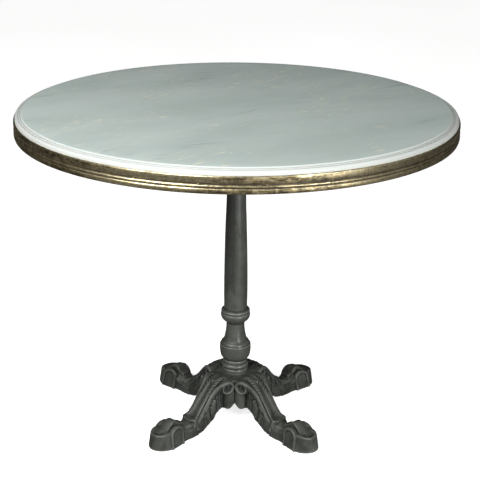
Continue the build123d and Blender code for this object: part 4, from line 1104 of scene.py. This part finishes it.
# the two mating faces are sharp where they meet the outside
for s in (1.0, -1.0):
    away = (points[:, 0] - s * points[:, 1]) * math.sqrt(0.5) - 0.01
    close = away < 0.62 * GRID
    points[close, 0] -= away[close] * math.sqrt(0.5)
    points[close, 1] += s * away[close] * math.sqrt(0.5)
for name, degrees in (("front_right", -45), ("back_right", 45), ("back_left", 135), ("front_left", 225)):
    a = math.radians(degrees)
    turned = np.stack([points[:, 0] * math.cos(a) - points[:, 1] * math.sin(a), points[:, 0] * math.sin(a) + points[:, 1] * math.cos(a), points[:, 2]], 1)
    leg = add_mesh(f"leg_{name}_cast", turned * 0.001, quads, leg_iron, cavity=cavity)
    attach(leg, "table")
    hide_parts(f"leg_{name}")


# ---------------------------------------------------------------- floor, light and camera
def floor_material():
    # seen directly it is a pale sweep; what it throws back at the object is kept low, as a small set would
    m = Nodes("floor")
    cloud = m.noise(m.pos, 0.6, 3.0, 0.5)
    color = m.mix(m.remap(cloud, 0.3, 0.7), (0.93, 0.93, 0.925), (0.95, 0.95, 0.948))
    shade = m.mix(m.add("ShaderNodeLightPath").outputs["Is Camera Ray"], (0.17, 0.17, 0.168), color)
    m.link(color, m.p.inputs["Emission Color"])
    m.link(m.math("MULTIPLY", m.add("ShaderNodeLightPath").outputs["Is Camera Ray"], FLOOR_GLOW), m.p.inputs["Emission Strength"])
    return m.finish(shade, m.remap(m.noise(m.pos, 40.0, 3.0, 0.5), 0.3, 0.7, 0.85, 0.95), Specular_IOR_Level=0.1)


steps = np.linspace(-14, 14, 29)
grid_v = [(x, y, -0.0002) for y in steps for x in steps]
n = len(steps)
grid_f = [(j * n + i, j * n + i + 1, (j + 1) * n + i + 1, (j + 1) * n + i) for j in range(n - 1) for i in range(n - 1)]
floor = add_mesh("floor", grid_v, grid_f, floor_material())

world = bpy.data.worlds.new("studio")
bpy.context.scene.world = world
world.use_nodes = True
wt = world.node_tree
background = wt.nodes["Background"]
where = wt.nodes.new("ShaderNodeTexCoord")
parts = wt.nodes.new("ShaderNodeSeparateXYZ")
wt.links.new(where.outputs["Generated"], parts.inputs[0])
across = wt.nodes.new("ShaderNodeMath")
across.operation = "MULTIPLY"
wt.links.new(parts.outputs[0], across.inputs[0])
across.inputs[1].default_value = -0.35
toward = wt.nodes.new("ShaderNodeMath")
toward.operation = "ADD"
wt.links.new(across.outputs[0], toward.inputs[0])
wt.links.new(parts.outputs[1], toward.inputs[1])
back = wt.nodes.new("ShaderNodeMapRange")
back.interpolation_type = "SMOOTHSTEP"
wt.links.new(toward.outputs[0], back.inputs["Value"])
for key, value in (("From Min", -0.95), ("From Max", 0.55), ("To Min", WORLD_FRONT), ("To Max", WORLD_BACK)):
    back.inputs[key].default_value = value
background.inputs[0].default_value = (1.0, 1.0, 1.0, 1.0)
# where the floor ends, the sweep goes on in the same pale tone
seen = wt.nodes.new("ShaderNodeLightPath")
sweep = wt.nodes.new("ShaderNodeMix")
sweep.data_type = "FLOAT"
wt.links.new(seen.outputs["Is Camera Ray"], sweep.inputs[0])
wt.links.new(back.outputs[0], sweep.inputs[2])
sweep.inputs[3].default_value = 0.96
wt.links.new(sweep.outputs[0], background.inputs[1])


def soft_light(name, place, target, size, watts, color=(1, 1, 1)):
    data = bpy.data.lights.new(name, "AREA")
    data.shape = "RECTANGLE"
    data.size, data.size_y = size
    data.energy = watts
    data.color = color
    obj = bpy.data.objects.new(name, data)
    obj.location = place
    obj.rotation_euler = (Vector(target) - Vector(place)).to_track_quat("-Z", "Y").to_euler()
    bpy.context.scene.collection.objects.link(obj)
    return obj


for spec in LIGHTS:
    soft_light(*spec)

camera = bpy.data.cameras.new("camera")
camera.lens, camera.sensor_width, camera.sensor_fit = LENS, 36.0, "HORIZONTAL"
camera.clip_start, camera.clip_end = 0.05, 60.0
holder = bpy.data.objects.new("camera", camera)
bpy.context.scene.collection.objects.link(holder)
pitch, yaw, roll = (math.radians(v) for v in CAM_ANGLES)
forward = Vector((math.sin(yaw) * math.cos(pitch), math.cos(yaw) * math.cos(pitch), -math.sin(pitch)))
right = Vector((math.cos(yaw), -math.sin(yaw), 0))
up = right.cross(forward)
right, up = math.cos(roll) * right + math.sin(roll) * up, -math.sin(roll) * right + math.cos(roll) * up
matrix = Matrix((right, up, -forward)).transposed().to_4x4()
matrix.translation = Vector(CAM_PLACE)
holder.matrix_world = Matrix.Rotation(math.radians(CAM_TURN), 4, "Z") @ matrix
bpy.context.scene.camera = holder
bpy.context.scene.view_settings.view_transform = "Standard"
bpy.context.scene.view_settings.look = "None"
